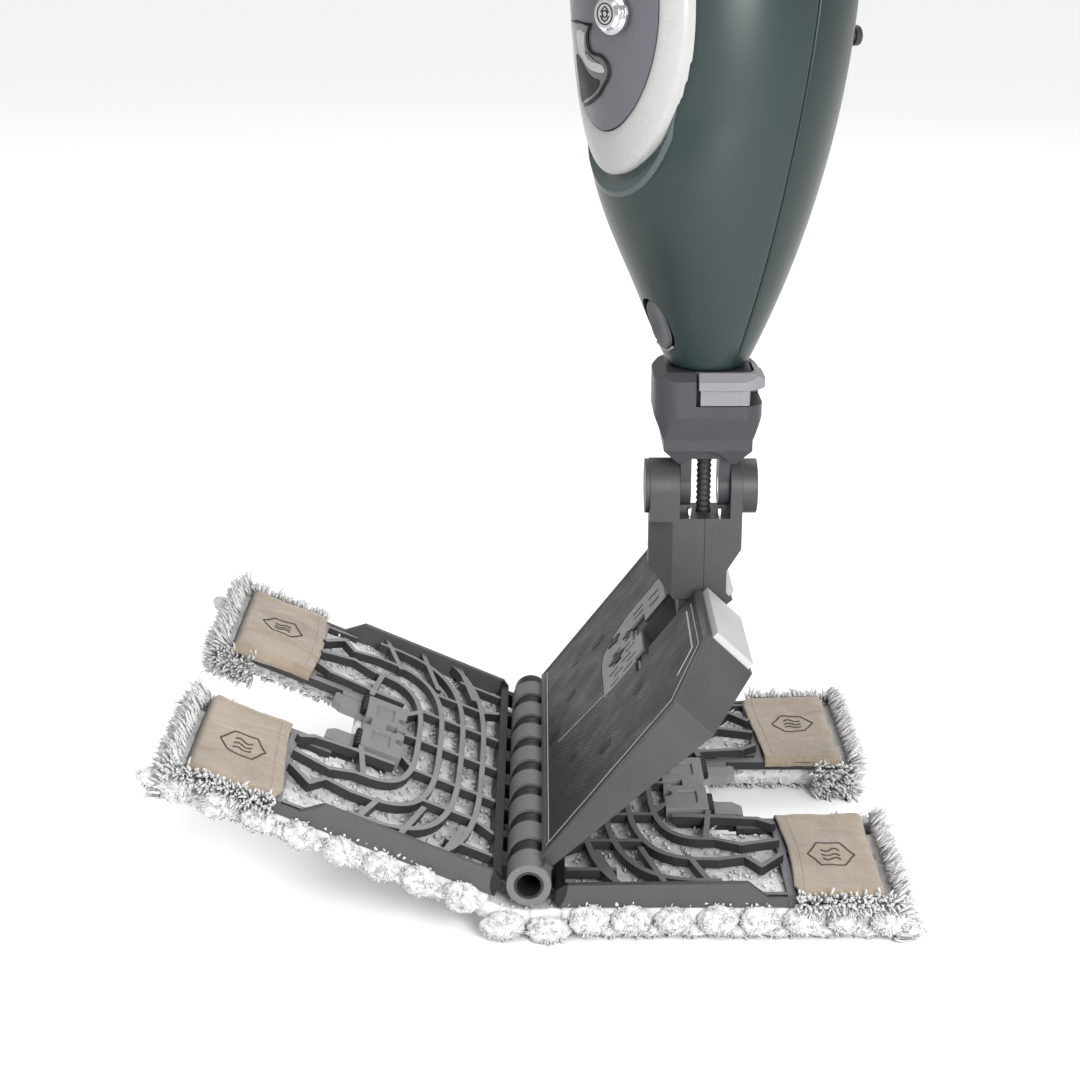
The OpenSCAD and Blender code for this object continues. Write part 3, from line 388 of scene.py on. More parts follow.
# directions of the faces that are painted lighter, as if lit from above
UP = (0.0, 0.0, 1.0)
UP_LEFT = (math.sin(math.radians(LEFT_LIFT)), 0.0, math.cos(math.radians(LEFT_LIFT)))
BLACK = tone(20, 20, 21)
M = {
    "shell": glossy_shell("green_shell", tone(33, 43, 43)),
    # lighter copy of the shell's green for the shelf under the ring, which faces up: a painted highlight
    "shelf": glossy_shell("shelf_green_painted_highlight", tone(66, 75, 75)),
    # darker copy of the same green for the rear half: painted shade
    "shell_rear": glossy_shell("green_shell_rear_painted_shade", tone(26, 36, 36)),
    "ring": moulded("pale_gloss", tone(148, 148, 147), 0.3, 0.03, 900.0, 0.08, 0.0008, 0.0, 0.2),
    "panel": moulded("panel_grey", tone(78, 80, 85), 0.34, 0.05, 900.0, 0.1, 0.0006, 0.2, 0.2),
    "window": smoked("tinted_clear", tone(78, 79, 80), 0.9),
    "tank": smoked("tank_clear", tone(150, 160, 165), 0.45),
    "blob": moulded("window_float", tone(150, 150, 150), 0.3, 0.08, 900.0, 0.1, 0.0006, 0.0, 0.3),
    "chrome": chromed("bright_knob"),
    "dark": moulded("dark_plastic", tone(44, 44, 46), 0.5, 0.12),
    "bellows": rubber("ribbed_hose", (0.012, 0.012, 0.013)),
    "ink": moulded("dark_inlay", BLACK, 0.5, 0.15),
    "grip": moulded("grip_plastic", tone(42, 42, 44), 0.62, 0.14, 700.0, 0.6),
    "steel": brushed("steel", (0.62, 0.62, 0.64), (60.0, 60.0, 900.0), 0.24),
    "pin": brushed("pin_steel", (0.78, 0.78, 0.8), (900.0, 900.0, 20.0), 0.18),
    "tube": brushed("tube_metal", (0.55, 0.56, 0.57)),
    "rubber": rubber("hose_rubber"),
    "black": rubber("black_rubber", (0.008, 0.008, 0.009)),
    "board": moulded("board", (0.03, 0.16, 0.08), 0.35),
    "button": moulded("light_button", tone(112, 111, 115), 0.4, 0.05, 1200.0, 0.15, 0.0006, 0.2),
    "button_dark": moulded("shell_button", tone(58, 62, 64), 0.4, 0.08),
    "collar": moulded("collar_grey", tone(50, 50, 54), 0.42, 0.08, 1400.0, 0.2, 0.0008, 0.3),
    "neck": moulded("neck_grey", tone(58, 58, 59), 0.44, 0.1, 1400.0, 0.25, 0.0008, 0.35),
    # head parts: lit tones for upward faces, shaded tones for the sides, a flat painted shade on the rails
    # and painted tones on the knuckles
    "plate": head_plastic(
        "plate_grey", UP, tone(68, 68, 69), tone(57, 57, 58), None, tone(96, 96, 97), PLATE_KNUCKLE
    ),
    "wing_left": head_plastic(
        "wing_grey_left", UP_LEFT, tone(118, 118, 120), tone(46, 46, 47),
        tone(72, 72, 73), BLACK, WING_KNUCKLE,
    ),
    # the right wing takes darker copies of the left wing's tones: painted shade, as it lies in shadow
    "wing_right": head_plastic(
        "wing_grey_right_painted_shade", UP, tone(96, 96, 98), tone(40, 40, 41),
        tone(66, 66, 67), BLACK, WING_KNUCKLE,
    ),
    "sole": head_plastic("sole_grey", (-0.73, 0.0, 0.68), tone(45, 45, 46), tone(44, 44, 45), rib=True),
    "rim": moulded("rim_grey", tone(72, 72, 73), 0.44, 0.1, 1400.0, 0.25, 0.0005, 0.3),
    # light grey for the plate's bright lines: painted highlights on edges and a fold
    "line": moulded("edge_highlight_grey", tone(150, 150, 151), 0.44, 0.1, 1400.0, 0.25, 0.0005, 0.2),
    "grille": moulded("grille_grey", tone(112, 112, 113), 0.42, 0.12, edge=0.0003),
    "block": moulded("block_grey", tone(112, 112, 113), 0.42, 0.08, 1400.0, 0.2, 0.0008, 0.25),
    "cover": moulded("pale_cover", tone(160, 160, 160), 0.4, 0.04, 900.0, 0.1, 0.0008, 0.0),
    "pile": pile("microfibre"),
    "cloth": cloth("beige_cloth", tone(136, 123, 106)),
    "thread": moulded("stitch_thread", tone(70, 62, 54), 0.8, 0.2),
}

# which look each CAD node has
NODE_LOOK = {
    "shell": "front_shell",
    "shell_rear": "rear_shell",
    "ring": "front_ring",
    "panel": "control_panel",
    "window": "tank_window",
    "tank": "water_tank",
    "chrome": "steam_knob",
    "dark": "tank_cap pump swivel_spigot cord_hook_lower top_cap "
    "hook_clamp cord_hook_upper latch_hooks_left latch_hooks_right",
    "grip": "grip_left grip_right",
    "black": "hinge_tube steam_hose swivel_seal plate_screws",
    "steel": "boiler trigger_pin shell_screws lean_pins tilt_pin",
    "pin": "guide_pins",
    "board": "circuit_board",
    "rubber": "feed_hose boiler_hose cord_gland",
    "button": "collar_button trigger",
    "button_dark": "body_release_button",
    "grille": "outlet_grille_left outlet_grille_right",
    "block": "latch_block_left latch_block_right",
    "tube": "handle_tube",
    "collar": "collar",
    "neck": "fork_left fork_right",
    "plate": "plate_core",
    "wing_left": "wing_left",
    "wing_right": "wing_right",
    "sole": "sole_left sole_right",
    "cover": "end_cover_near end_cover_far steam_duct",
    "pile": "pad_left pad_right pad_centre",
    "cloth": "pocket_left_near pocket_left_far pocket_right_near pocket_right_far",
}
for look, names in NODE_LOOK.items():
    for name in names.split():
        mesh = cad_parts[name].data
        if not mesh.materials:
            mesh.materials.append(M[look])
        for at in range(len(mesh.materials)):
            mesh.materials[at] = M[look]


# ---- Mesh helpers ---------------------------------------------------------
def soften(mesh, sharp=None):
    """Smooth shading; edges that turn by more than an angle stay crisp."""
    mesh.shade_smooth()
    if sharp:
        mesh.set_sharp_from_angle(angle=math.radians(sharp))


def piece(name, verts, faces, look, body=None, slot=None, matrix=None, smooth=True, sharp=None):
    """A mesh object from points in the row frame's metres, or in matrix's own millimetres."""
    mesh = bpy.data.meshes.new(name)
    mesh.from_pydata([tuple(matrix @ Vector(v) if matrix else v) for v in verts], [], faces)
    mesh.materials.append(M[look])
    work = bmesh.new()
    work.from_mesh(mesh)
    bmesh.ops.recalc_face_normals(work, faces=work.faces)
    work.to_mesh(mesh)
    work.free()
    if smooth:
        soften(mesh, sharp)
    obj = bpy.data.objects.new(name, mesh)
    scene.collection.objects.link(obj)
    if body:
        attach(obj, body)
    return obj


def grid_faces(rows, cols, wrap=False, base=0):
    """Quads of a grid of points; wrap joins the last column to the first."""
    faces = []
    for i in range(rows - 1):
        a, b = base + i * cols, base + (i + 1) * cols
        for j in range(cols if wrap else cols - 1):
            k = (j + 1) % cols
            faces.append((a + j, a + k, b + k, b + j))
    return faces


def tube_faces(rows, cols, base=0):
    """Faces of a closed tube: its wall and its two ends."""
    last = base + (rows - 1) * cols
    ends = [tuple(range(base, base + cols))[::-1], tuple(range(last, last + cols))]
    return grid_faces(rows, cols, True, base) + ends


def fold_faces(rows, cols):
    """Faces of a thick sheet whose rows run out along one face and back along the other."""
    loop = 2 * cols
    faces = grid_faces(rows, loop, True)
    for base in (0, (rows - 1) * loop):
        faces += [(base + j, base + j + 1, base + loop - 2 - j, base + loop - 1 - j) for j in range(cols - 1)]
    return faces


def turns(n):
    """Angles of n equal steps round a circle."""
    return [2 * math.pi * k / n for k in range(n)]


def oval(a, b, x=0.0, y=0.0, n=64):
    return [(x + a * math.cos(t), y + b * math.sin(t)) for t in turns(n)]


def steps(low, high, step):
    """Values from low in equal steps, up to and without high."""
    return [low + i * step for i in range(math.ceil((high - low) / step))]


def ease(t):
    t = min(1.0, max(0.0, t))
    return t * t * (3 - 2 * t)


def bumps(u, y, *layers):
    """Sum of noise layers, each with a height, a size and a seed."""
    return sum(h * noise.noise(Vector((u / size, y / size, seed))) for h, size, seed in layers)


def through(points, t):
    """Smooth value at t of a curve through (t, value) points."""
    if t <= points[0][0]:
        return points[0][1]
    if t >= points[-1][0]:
        return points[-1][1]
    n = len(points)
    i = min(max(k for k in range(n) if points[k][0] <= t), n - 2)
    (t0, a), (t1, b) = points[i], points[i + 1]
    h = t1 - t0
    ma = (b - points[i - 1][1]) / (t1 - points[i - 1][0]) if i > 0 else (b - a) / h
    mb = (points[i + 2][1] - a) / (points[i + 2][0] - t0) if i + 2 < n else (b - a) / h
    s = (t - t0) / h
    rise = 3 * s**2 - 2 * s**3
    return (1 - rise) * a + (s**3 - 2 * s**2 + s) * h * ma + rise * b + (s**3 - s**2) * h * mb


def smooth_run(points, closed=False, count=5):
    """A smooth curve through points, with count places between two of them."""
    n = len(points)
    out = []
    for i in range(n if closed else n - 1):
        near = [points[(i + k) % n if closed else min(max(i + k, 0), n - 1)] for k in (-1, 0, 1, 2)]
        # each coordinate as a cubic in t
        cubic = [
            (b, (c - a) / 2, a - 2.5 * b + 2 * c - d / 2, (3 * b - a - 3 * c + d) / 2)
            for a, b, c, d in zip(*near)
        ]
        for t in (s / count for s in range(count)):
            out.append(tuple(e + f * t + g * t**2 + h * t**3 for e, f, g, h in cubic))
    return out if closed else out + [points[-1]]


def dense(points, step=1.5):
    """Points every step or so along straight stretches."""
    out = []
    for a, b in zip(points, points[1:]):
        n = max(1, int(math.dist(a, b) / step))
        out += [(a[0] + (b[0] - a[0]) * i / n, a[1] + (b[1] - a[1]) * i / n) for i in range(n)]
    return out + [points[-1]]


def cut(obj, cutter):
    """Takes the cutter's volume away from a mesh."""
    mod = obj.modifiers.new("cut", "BOOLEAN")
    mod.solver = "EXACT"
    mod.object = cutter
    settle(obj)
    bpy.data.objects.remove(cutter)


def settle(obj):
    """Turns an object's modifiers into its mesh."""
    bpy.context.view_layer.update()
    obj.data = bpy.data.meshes.new_from_object(obj.evaluated_get(bpy.context.evaluated_depsgraph_get()))
    obj.modifiers.clear()


def prism(outline, low, high, matrix):
    """A closed prism over a flat outline, between two heights of matrix's third axis."""
    verts = [(x, y, z) for z in (low, high) for x, y in outline]
    return piece("cutter", verts, tube_faces(2, len(outline)), "dark", matrix=matrix, smooth=False)


def threads(name, runs, radius, look, body, slot, matrix, sides=8):
    """Thin round lines along point runs, as one mesh."""
    verts, faces = [], []
    for run in runs:
        points = [Vector(p) for p in run]
        last = len(points) - 1
        faces += tube_faces(len(points), sides, len(verts))
        for i, p in enumerate(points):
            along = (points[min(i + 1, last)] - points[max(i - 1, 0)]).normalized()
            side = along.cross(Vector((0, 0, 1)))
            side = side.normalized() if side.length > 1e-3 else Vector((1, 0, 0))
            up = side.cross(along)
            verts += [p + (side * math.cos(a) + up * math.sin(a)) * radius for a in turns(sides)]
    return piece(name, verts, faces, look, body, slot, matrix)


def plate_over(name, outline, look, body, slot, matrix, place, thick, inset=0.8, centre=None, skirt=1.5):
    """A raised inlay: an outline with a rounded edge, laid on a surface by place(x, y, height)."""
    n = len(outline)
    cx, cy = centre or (sum(p[0] for p in outline) / n, sum(p[1] for p in outline) / n)
    # rows of points: how far in from the outline, what share of the radius, how high
    rows = [(0.0, 1.0, -skirt), (0.0, 1.0, thick * 0.6), (inset * 0.5, 1.0, thick * 0.95)]
    rows += [(inset, share, thick) for share in (1.0, 0.8, 0.6, 0.4, 0.2)]
    verts = []
    for inward, share, height in rows:
        for x, y in outline:
            k = share * (1 - inward / max(math.hypot(x - cx, y - cy), inward + 0.01))
            verts.append(place(cx + (x - cx) * k, cy + (y - cy) * k, height))
    verts.append(place(cx, cy, thick))
    last = (len(rows) - 1) * n
    faces = grid_faces(len(rows), n, True)
    faces += [(last + i, last + (i + 1) % n, last + n) for i in range(n)]
    faces.append(tuple(range(n))[::-1])
    return piece(name, verts, faces, look, body, slot, matrix, sharp=60)


# ---- Body shells ----------------------------------------------------------
BODY_MID = 520.0
R_LOW, R_MID, R_TOP = 22.0, 76.0, 32.0
LOW_ARC = ((BODY_MID - BODY_LOW) ** 2 + (R_MID - R_LOW) ** 2) / (2 * (R_MID - R_LOW))
HIGH_ARC = ((BODY_TOP - BODY_MID) ** 2 + (R_MID - R_TOP) ** 2) / (2 * (R_MID - R_TOP))
RING_Z = 488.0
RING_A, RING_B = 57.0, 95.0
PANEL_A, PANEL_B = 45.2, 72.2
KNOB_Z, KNOB_TURN = 477.0, 16.0
BUTTON_Z, BUTTON_SLOPE = 309.0, 23.5
SWELL_LOW, SWELL_END, SWELL_RUN = 318.0, 432.0, 38.0
# how far behind the axis the parting line runs, by height
SEAM = [(284, 3.0), (400, 9.0), (481, 15.0), (530, 16.6), (620, 12.0), (690, 4.5)]
WALL, SEAM_GAP, SEAM_ROLL = 2.4, 0.22, 1.2
BODY = body_matrix()


def body_r(z):
    """Radius of the plain body at a height: two arcs that meet at its widest place."""
    arc = LOW_ARC if z < BODY_MID else HIGH_ARC
    return R_MID - arc + math.sqrt(arc**2 - (z - BODY_MID) ** 2)


def ring_gap(x, z):
    """Distance of a place of the front drawing from the ring's outer edge."""
    q = math.hypot(x / RING_A, (z - RING_Z) / RING_B)
    return math.hypot(x, z - RING_Z) * (1 - 1 / max(q, 0.01))


def shelf_width(z):
    """Width of the crescent shelf that the ring sits in, widest under the ring."""
    return 9.0 * ease((SWELL_END - z) / SWELL_RUN)


def swell(x, z):
    """How far the front shell swells out below the ring."""
    theta = math.asin(max(-1.0, min(1.0, x / body_r(z))))
    around = ease((math.radians(92) - abs(theta)) / math.radians(50))
    return 4.4 * ease((z - SWELL_LOW) / 66.0) * ease((SWELL_END - z) / SWELL_RUN) * around


def shelf(theta, z):
    """Height of the front shell over the plain body, sunk where the ring and its shelf cover it."""
    if abs(theta) > math.radians(89):
        return 0.0
    x = body_r(z) * math.sin(theta)
    away, width = ring_gap(x, z), shelf_width(z)
    if away < 0:
        return -1.0
    if away < width:
        return swell(x, z) - 4.5 * ease((width - away) / 2.5)
    return swell(x, z)


def shell(name, look, front):
    """One half of the body's shell; its edge rolls in along the parting line."""
    cols = 120
    rows = int((BODY_TOP - BODY_LOW) / 2.0)
    verts = []
    for i in range(rows + 1):
        z = BODY_LOW + (BODY_TOP - BODY_LOW) * i / rows
        r = body_r(z)
        half = math.acos(-through(SEAM, z) / r)
        half = (half if front else math.pi - half) - SEAM_GAP / r
        lip = 0.9 * (1 - min(1.0, min(z - BODY_LOW, BODY_TOP - z) / 1.8)) ** 2
        outside = []
        for j in range(cols):
            s = 2 * j / (cols - 1) - 1
            # columns crowd a little at the parting line
            s = math.copysign(1 - (1 - abs(s)) ** 1.15, s)
            roll = 0.9 * max(0.0, (abs(s) * half - half) * r / SEAM_ROLL + 1) ** 2
            out = r - roll - lip + (shelf(s * half, z) if front else 0.0)
            outside.append((s * half + (0.0 if front else math.pi), out))
        inside = [(a, max(3.0, out - WALL)) for a, out in reversed(outside)]
        verts += [(-out * math.cos(a), -out * math.sin(a), z) for a, out in outside + inside]
    return piece(name, verts, fold_faces(rows + 1, cols), look, "handle_unit", "green_shell", BODY)


def long_hole(r, half, n=16):
    """A slot with round ends, long in x."""
    right = [(half + r * math.sin(math.pi * k / n), -r * math.cos(math.pi * k / n)) for k in range(n + 1)]
    return right + [(-x, -y) for x, y in right]


def front_view():
    """Frame of the front drawing: x to the viewer's right, then up, then towards the viewer."""
    return BODY @ Matrix(((0, 0, -1, 0), (-1, 0, 0, 0), (0, 1, 0, 0), (0, 0, 0, 1)))


def button_view():
    """Frame of the release button: z out of the shell, x up along it."""
    at = Matrix.Translation((-body_r(BUTTON_Z), 0, BUTTON_Z))
    return BODY @ at @ Matrix.Rotation(math.radians(-90 - BUTTON_SLOPE), 4, "Y")


def on_front(x, z, off):
    """Point on the body's front at a place of the front drawing, raised by off."""
    r = body_r(z) + off
    return (-math.sqrt(max(0.01, r * r - x * x)), -x, z)


def make_shells():
    cap = Matrix.Translation((-60, 0, middle("tank_cap").z)) @ Matrix.Rotation(math.pi / 2, 4, "Y")
    holes = (
        (oval(RING_A - 3, RING_B - 3, 0, RING_Z), 5, 120, front_view()),
        (long_hole(11.4, 5), -20, 20, button_view()),
        (oval(15.4, 15.4), -30, 30, BODY @ cap),
    )
    for node, look, openings in (("front_shell", "shell", holes), ("rear_shell", "shell_rear", ())):
        obj = shell(node + "_skin", look, look == "shell")
        for opening in openings:
            cut(obj, prism(*opening))
        soften(obj.data, 50)
        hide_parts(node)


def make_inner_shade_sheet(low=292, high=640):
    """Black sheet inside the body that stands in for the shade within it; it closes the view through the
    window and the button's recess.
    """
    rows, cols = 60, 64
    verts = []
    for z in (low + (high - low) * i / (rows - 1) for i in range(rows)):
        r = body_r(z) - 6
        verts += [(x, y, z) for x, y in oval(r, r, n=cols)]
    faces = tube_faces(rows, cols)
    piece("inner_shade_sheet", verts, faces, "black", "handle_unit", "dark_plastic", BODY, sharp=40)


def make_ring():
    """Pale band round the panel, from its inner edge (share 0) to its outer edge (share 1)."""
    section = [
        (1.0, -4.0), (1.0, 1.9), (0.985, 2.7), (0.95, 3.3), (0.88, 3.7), (0.7, 3.95), (0.5, 4.0), (0.3, 3.8),
        (0.16, 3.4), (0.07, 2.9), (0.02, 2.3), (0.0, 1.4), (0.0, -4.0),
    ]
    n, m = 128, len(section)
    verts = []
    for x, y in oval(1.0, 1.0, n=n):
        for w, off in section:
            a, b = PANEL_A + (RING_A - PANEL_A) * w, PANEL_B + (RING_B - PANEL_B) * w
            verts.append(on_front(a * x, RING_Z + b * y, off))
    faces = [tuple(v % (n * m) for v in f) for f in grid_faces(n + 1, m, True)]
    ring = piece("front_ring_band", verts, faces, "ring", "handle_unit", "pale_gloss", BODY, sharp=48)
    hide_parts("front_ring")


def make_ring_seat():
    """Crescent shelf between the ring's lower edge and the swollen shell."""
    # share of the shelf's width, extra reach, share of the shell's swell, lift
    section = (
        (0.0, -0.6, 0.0, -4.6), (0.0, -0.6, 0.0, -1.9), (0.25, 0.0, 0.1, -1.5), (0.6, 0.0, 0.5, -0.6),
        (0.9, 0.0, 0.86, -0.1), (1.0, 0.0, 1.0, 0.05), (1.0, 0.5, 1.0, 0.12), (1.0, 1.4, 1.0, 0.1),
        (1.0, 2.6, 1.0, 0.02), (1.0, 2.6, 1.0, -4.6),
    )
    n, spread = 90, 55
    verts = []
    for k in range(n + 1):
        a = math.radians(-90 + spread * (2 * k / n - 1))
        px, pz = RING_A * math.cos(a), RING_Z + RING_B * math.sin(a)
        out = Vector((math.cos(a) / RING_A, math.sin(a) / RING_B)).normalized()
        width = shelf_width(pz)
        for share, more, part, lift in section:
            d = width * share + more * min(1.0, width / 2.5)
            x, z = px + out.x * d, pz + out.y * d
            verts.append(on_front(x, z, swell(x, z) * part + lift))
    faces = tube_faces(n + 1, len(section))
    # the shelf takes a lighter copy of the shell's green: a painted highlight where it faces up
    piece("ring_seat", verts, faces, "shelf", "handle_unit", "green_shell", BODY, sharp=28)


# ---- Window, knob mark and release button -----------------------------------
WINDOW_EDGE = [
    (1, 470), (-2.6, 466), (-3.8, 461), (-1.6, 456.6), (3, 455.4), (8, 455), (12.6, 452.4), (14.2, 448.2),
    (12, 443.6), (7.6, 439.4), (1, 434.2), (-11, 429.4),
]
FLOAT = [
    (-17, 466), (-6.5, 466), (-7.5, 459), (-5, 453), (1, 451.5), (8, 450.5), (10, 447), (3, 446.5), (-5, 448),
    (-11, 452), (-17, 457),
]
SHADE = [
    (-24, 452), (-16, 452), (-9, 447.5), (-2, 443.5), (5, 442.5), (3, 438.5), (-5, 434), (-15, 431),
    (-25, 430),
]


def on_panel(x, z, height):
    """Point over the window, which stands proud of the plain body."""
    return on_front(x, z, 3.0 + height)


def on_button(x, y, height):
    """Dished face of the sunk button, in its own frame."""
    dish = 0.9 * (1 - min(1.0, math.hypot(x / 14.0, y / 9.0))) if height > 0 else 0.0
    return (x, y, -2.2 + height - dish - 0.10 * x)


def make_window():
    edge = [on_front(x, z, 2.9) for x, z in [(-20, 470.5)] + smooth_run(WINDOW_EDGE) + [(-18, 427.6)]]
    threads("window_rim", [edge], 0.85, "ink", "handle_unit", "panel_grey", BODY)
    tinted = ("handle_unit", "tinted_clear", BODY, on_panel)
    plate_over("window_float", smooth_run(FLOAT, True), "blob", *tinted, 0.35, 1.0, (-9, 457))
    plate_over("window_shade", smooth_run(SHADE, True), "ink", *tinted, 0.2, 1.0)


def make_knob_mark():
    """Plain mark on the knob: a ring round a small circle and two chevrons."""
    at = Matrix.Translation((-body_r(KNOB_Z), 0, KNOB_Z)) @ Matrix.Rotation(-math.pi / 2, 4, "Y")
    knob = BODY @ Matrix.Rotation(math.radians(KNOB_TURN), 4, "Z") @ at
    face = 9.9
    runs = []
    for r, z, n in ((5.2, face - 0.05, 40), (1.7, face, 24)):
        rim = [(x, y, z) for x, y in oval(r, r, n=n)]
        runs.append(rim + rim[:1])
    for x0, y0, x1, y1 in ((0.8, 2.7, 2.4, 1.6), (-1.0, 2.8, -2.7, 1.7)):
        tip = math.copysign(3.7, x0)
        runs.append([(x, y, face) for x, y in ((x0, y0), (x1, y1), (tip, 0.0), (x1, -y1), (x0, -y0))])
    threads("knob_mark", runs, 0.36, "ink", "knob", "bright_knob", knob)


def make_release_button():
    """Sunk oval button in the shell's recess, with a light lip at its lower end."""
    place = button_view()
    face = plate_over(
        "release_button_face", long_hole(9.4, 5, 12), "button_dark", "shell_button", "light_button", place,
        on_button, 1.2, 1.2, skirt=0.2,
    )
    lip = [(-16.0 + 0.32 * abs(k) ** 1.5, 1.6 * k, -0.6) for k in range(-5, 6)]
    threads("release_lip", [lip], 0.8, "button", "handle_unit", "light_button", place)
    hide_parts("body_release_button")


make_shells()
make_inner_shade_sheet()
make_ring()
make_ring_seat()
make_window()
make_knob_mark()
make_release_button()


# ---- Steam plate details ---------------------------------------------------
SLOPE = math.tan(math.radians(5.0))
PLATE = leaf("plate")
PLATE_END = 158
PLATE_OUT = [(14, -131), (127, -131), (PLATE_END, -96), (PLATE_END, 96), (127, 131), (14, 131)]
NECK_SLOT = 23.5
# steam outlets and grille nozzles: place and radius
OUTLETS = (
    (43, 41, 4.4), (43, -50, 4.0), (26, 8, 5.2), (70, -84, 5.4), (48, 84, 3.6), (70, 76, 5.6),
    (100, -60, 4.2),
)
NOZZLES = ((85, 47, 5.0), (86, 17, 5.6), (97, 33, 3.6))


def inset_outline(d):
    """The plate's outline with its edges moved in by d."""
    n = len(PLATE_OUT)
    out = []
    for i in range(n):
        a, b, c = (Vector(PLATE_OUT[(i + k - 1) % n]) for k in range(3))
        e1, e2 = (b - a).normalized(), (c - b).normalized()
        n1 = Vector((-e1.y, e1.x))
        way = (n1 + Vector((-e2.y, e2.x))).normalized()
        out.append(tuple(b + way * (d / way.dot(n1))))
    return out


def scallop(u, y, r, depth, waves, shift=0):
    """A small circle whose edge waves in and out."""
    rim = [(a, r * (1 + depth * math.sin(waves * a + shift))) for a in turns(40)]
    return [(u + d * math.cos(a), y + d * math.sin(a)) for a, d in rim]


def plate_rim(side, place):
    """Raised rim round one face of the plate, open at the neck's slot."""
    rows = []
    for d, height in ((0.25, -0.6), (0.25, 0.15), (0.6, 0.36), (3.3, 0.36), (3.7, 0.15), (3.9, -0.6)):
        pts = inset_outline(d)
        run = [(PLATE_END - d, -NECK_SLOT), *pts[2::-1], *pts[:2:-1], (PLATE_END - d, NECK_SLOT)]
        rows.append([place(u, y, height) for u, y in run])
    n, m = len(rows), len(rows[0])
    faces = [tuple(v % (n * m) for v in f) for f in grid_faces(n + 1, m)]
    faces += [tuple(r * m for r in range(n)), tuple(r * m + m - 1 for r in range(n))[::-1]]
    verts = [p for row in rows for p in row]
    piece("plate_rim_" + side, verts, faces, "rim", "steam_head", "head_grey", PLATE, smooth=False)


def make_plate_details(side, face):
    def place(u, y, height):
        return (u, y, (2.4 + SLOPE * u + height) * face)

    plate_rim(side, place)
    # painted highlights as fine bright lines: the rim's inner edge, the hinge side, the middle fold and a
    # step near the end
    lines = (
        [(17.5, -122), (124, -122), (150, -92), (150, -30)],
        [(20, 124), (20, -121)],
        [(80, -18), (30, -6)],
    )
    runs = [[place(u, y, 0.04) for u, y in dense(line)] for line in lines]
    threads("plate_edge_highlights_" + side, runs, 0.34, "line", "steam_head", "head_grey", PLATE)
    # the step near the end painted pale: a painted highlight
    step = [place(u, y, -0.28) for u, y in dense([(146, -34), (145, -88), (131, -101)])]
    threads("plate_step_highlight_" + side, [step], 0.75, "cover", "steam_head", "pale_cover", PLATE)
    for n, (u, y, r) in enumerate(OUTLETS):
        rim = scallop(u, y, r, 0.1, 5)
        name = "steam_outlet_%s_%d" % (side, n)
        plate_over(name, rim, "ink", "steam_head", "sole_grey", PLATE, place, 0.16, 0.5)
    for n, (u, y, r) in enumerate(NOZZLES):
        rim = scallop(u, y, r, 0.22, 4, n)
        name = "nozzle_%s_%d" % (side, n)
        plate_over(name, rim, "ink", "steam_head", "light_button", PLATE, place, 0.32, 0.6)


make_plate_details("left", 1)
make_plate_details("right", -1)


# ---- Latch hooks ------------------------------------------------------------
def make_hooks(which):
    """Sprung catches with a toothed edge, two on each latch block."""
    root, tip = 104.2, 107.4
    outline = [(root, 15.2)]
    for y in steps(15.2, 34.0, 4.6):
        outline += [(tip, y), (tip, y + 2.0), (tip - 1.8, y + 2.6), (tip - 1.8, y + 3.8)]
    outline.append((root, 34.8))
    levels = ((-7.8, 0.0), (-5.4, 0.0), (-4.0, 0.2), (-3.3, 0.9))
    verts, faces = [], []
    for side in (-1, 1):
        faces += tube_faces(len(levels), len(outline), len(verts))
        verts += [(max(root, u - pull), side * y, v) for v, pull in levels for u, y in outline]
    body = which + "_wing"
    obj = piece("latch_teeth_" + which, verts, faces, "ink", body, "dark_plastic", leaf(which), smooth=False)
    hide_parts("latch_hooks_" + which)


make_hooks("left")
make_hooks("right")


# ---- Steam hose and grips ---------------------------------------------------
def make_hose():
    """Ribbed hose through the neck."""
    low, high = (corner.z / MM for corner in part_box("steam_hose"))
    count = int((high - low) / 0.6)
    verts = []
    for i in range(count + 1):
        z = low + (high - low) * i / count
        r = 3.95 + 0.34 * math.cos(2 * math.pi * (z - low) / 3.2)
        verts += [(x, y, z) for x, y in oval(r, r, NX, 0.0, 24)]
    obj = piece("steam_hose_ribbed", verts, tube_faces(count + 1, 24), "bellows", matrix=ROW)
    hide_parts("steam_hose")
    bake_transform(obj)


# height, radius and lean of the hand grip
GRIP = ((1020, 17.0, 0.0), (1065, 18.5, 0.0), (1110, 16.0, 3.0), (1165, 17.0, 9.0), (1200, 14.0, 16.0))
GRIP_LOW, GRIP_ROUND, GRIP_TOP = 1020.0, 1190.0, 1200.0
RIBS_LOW, RIBS_HIGH, RIB_PITCH = 1118.0, 1174.0, 7.0


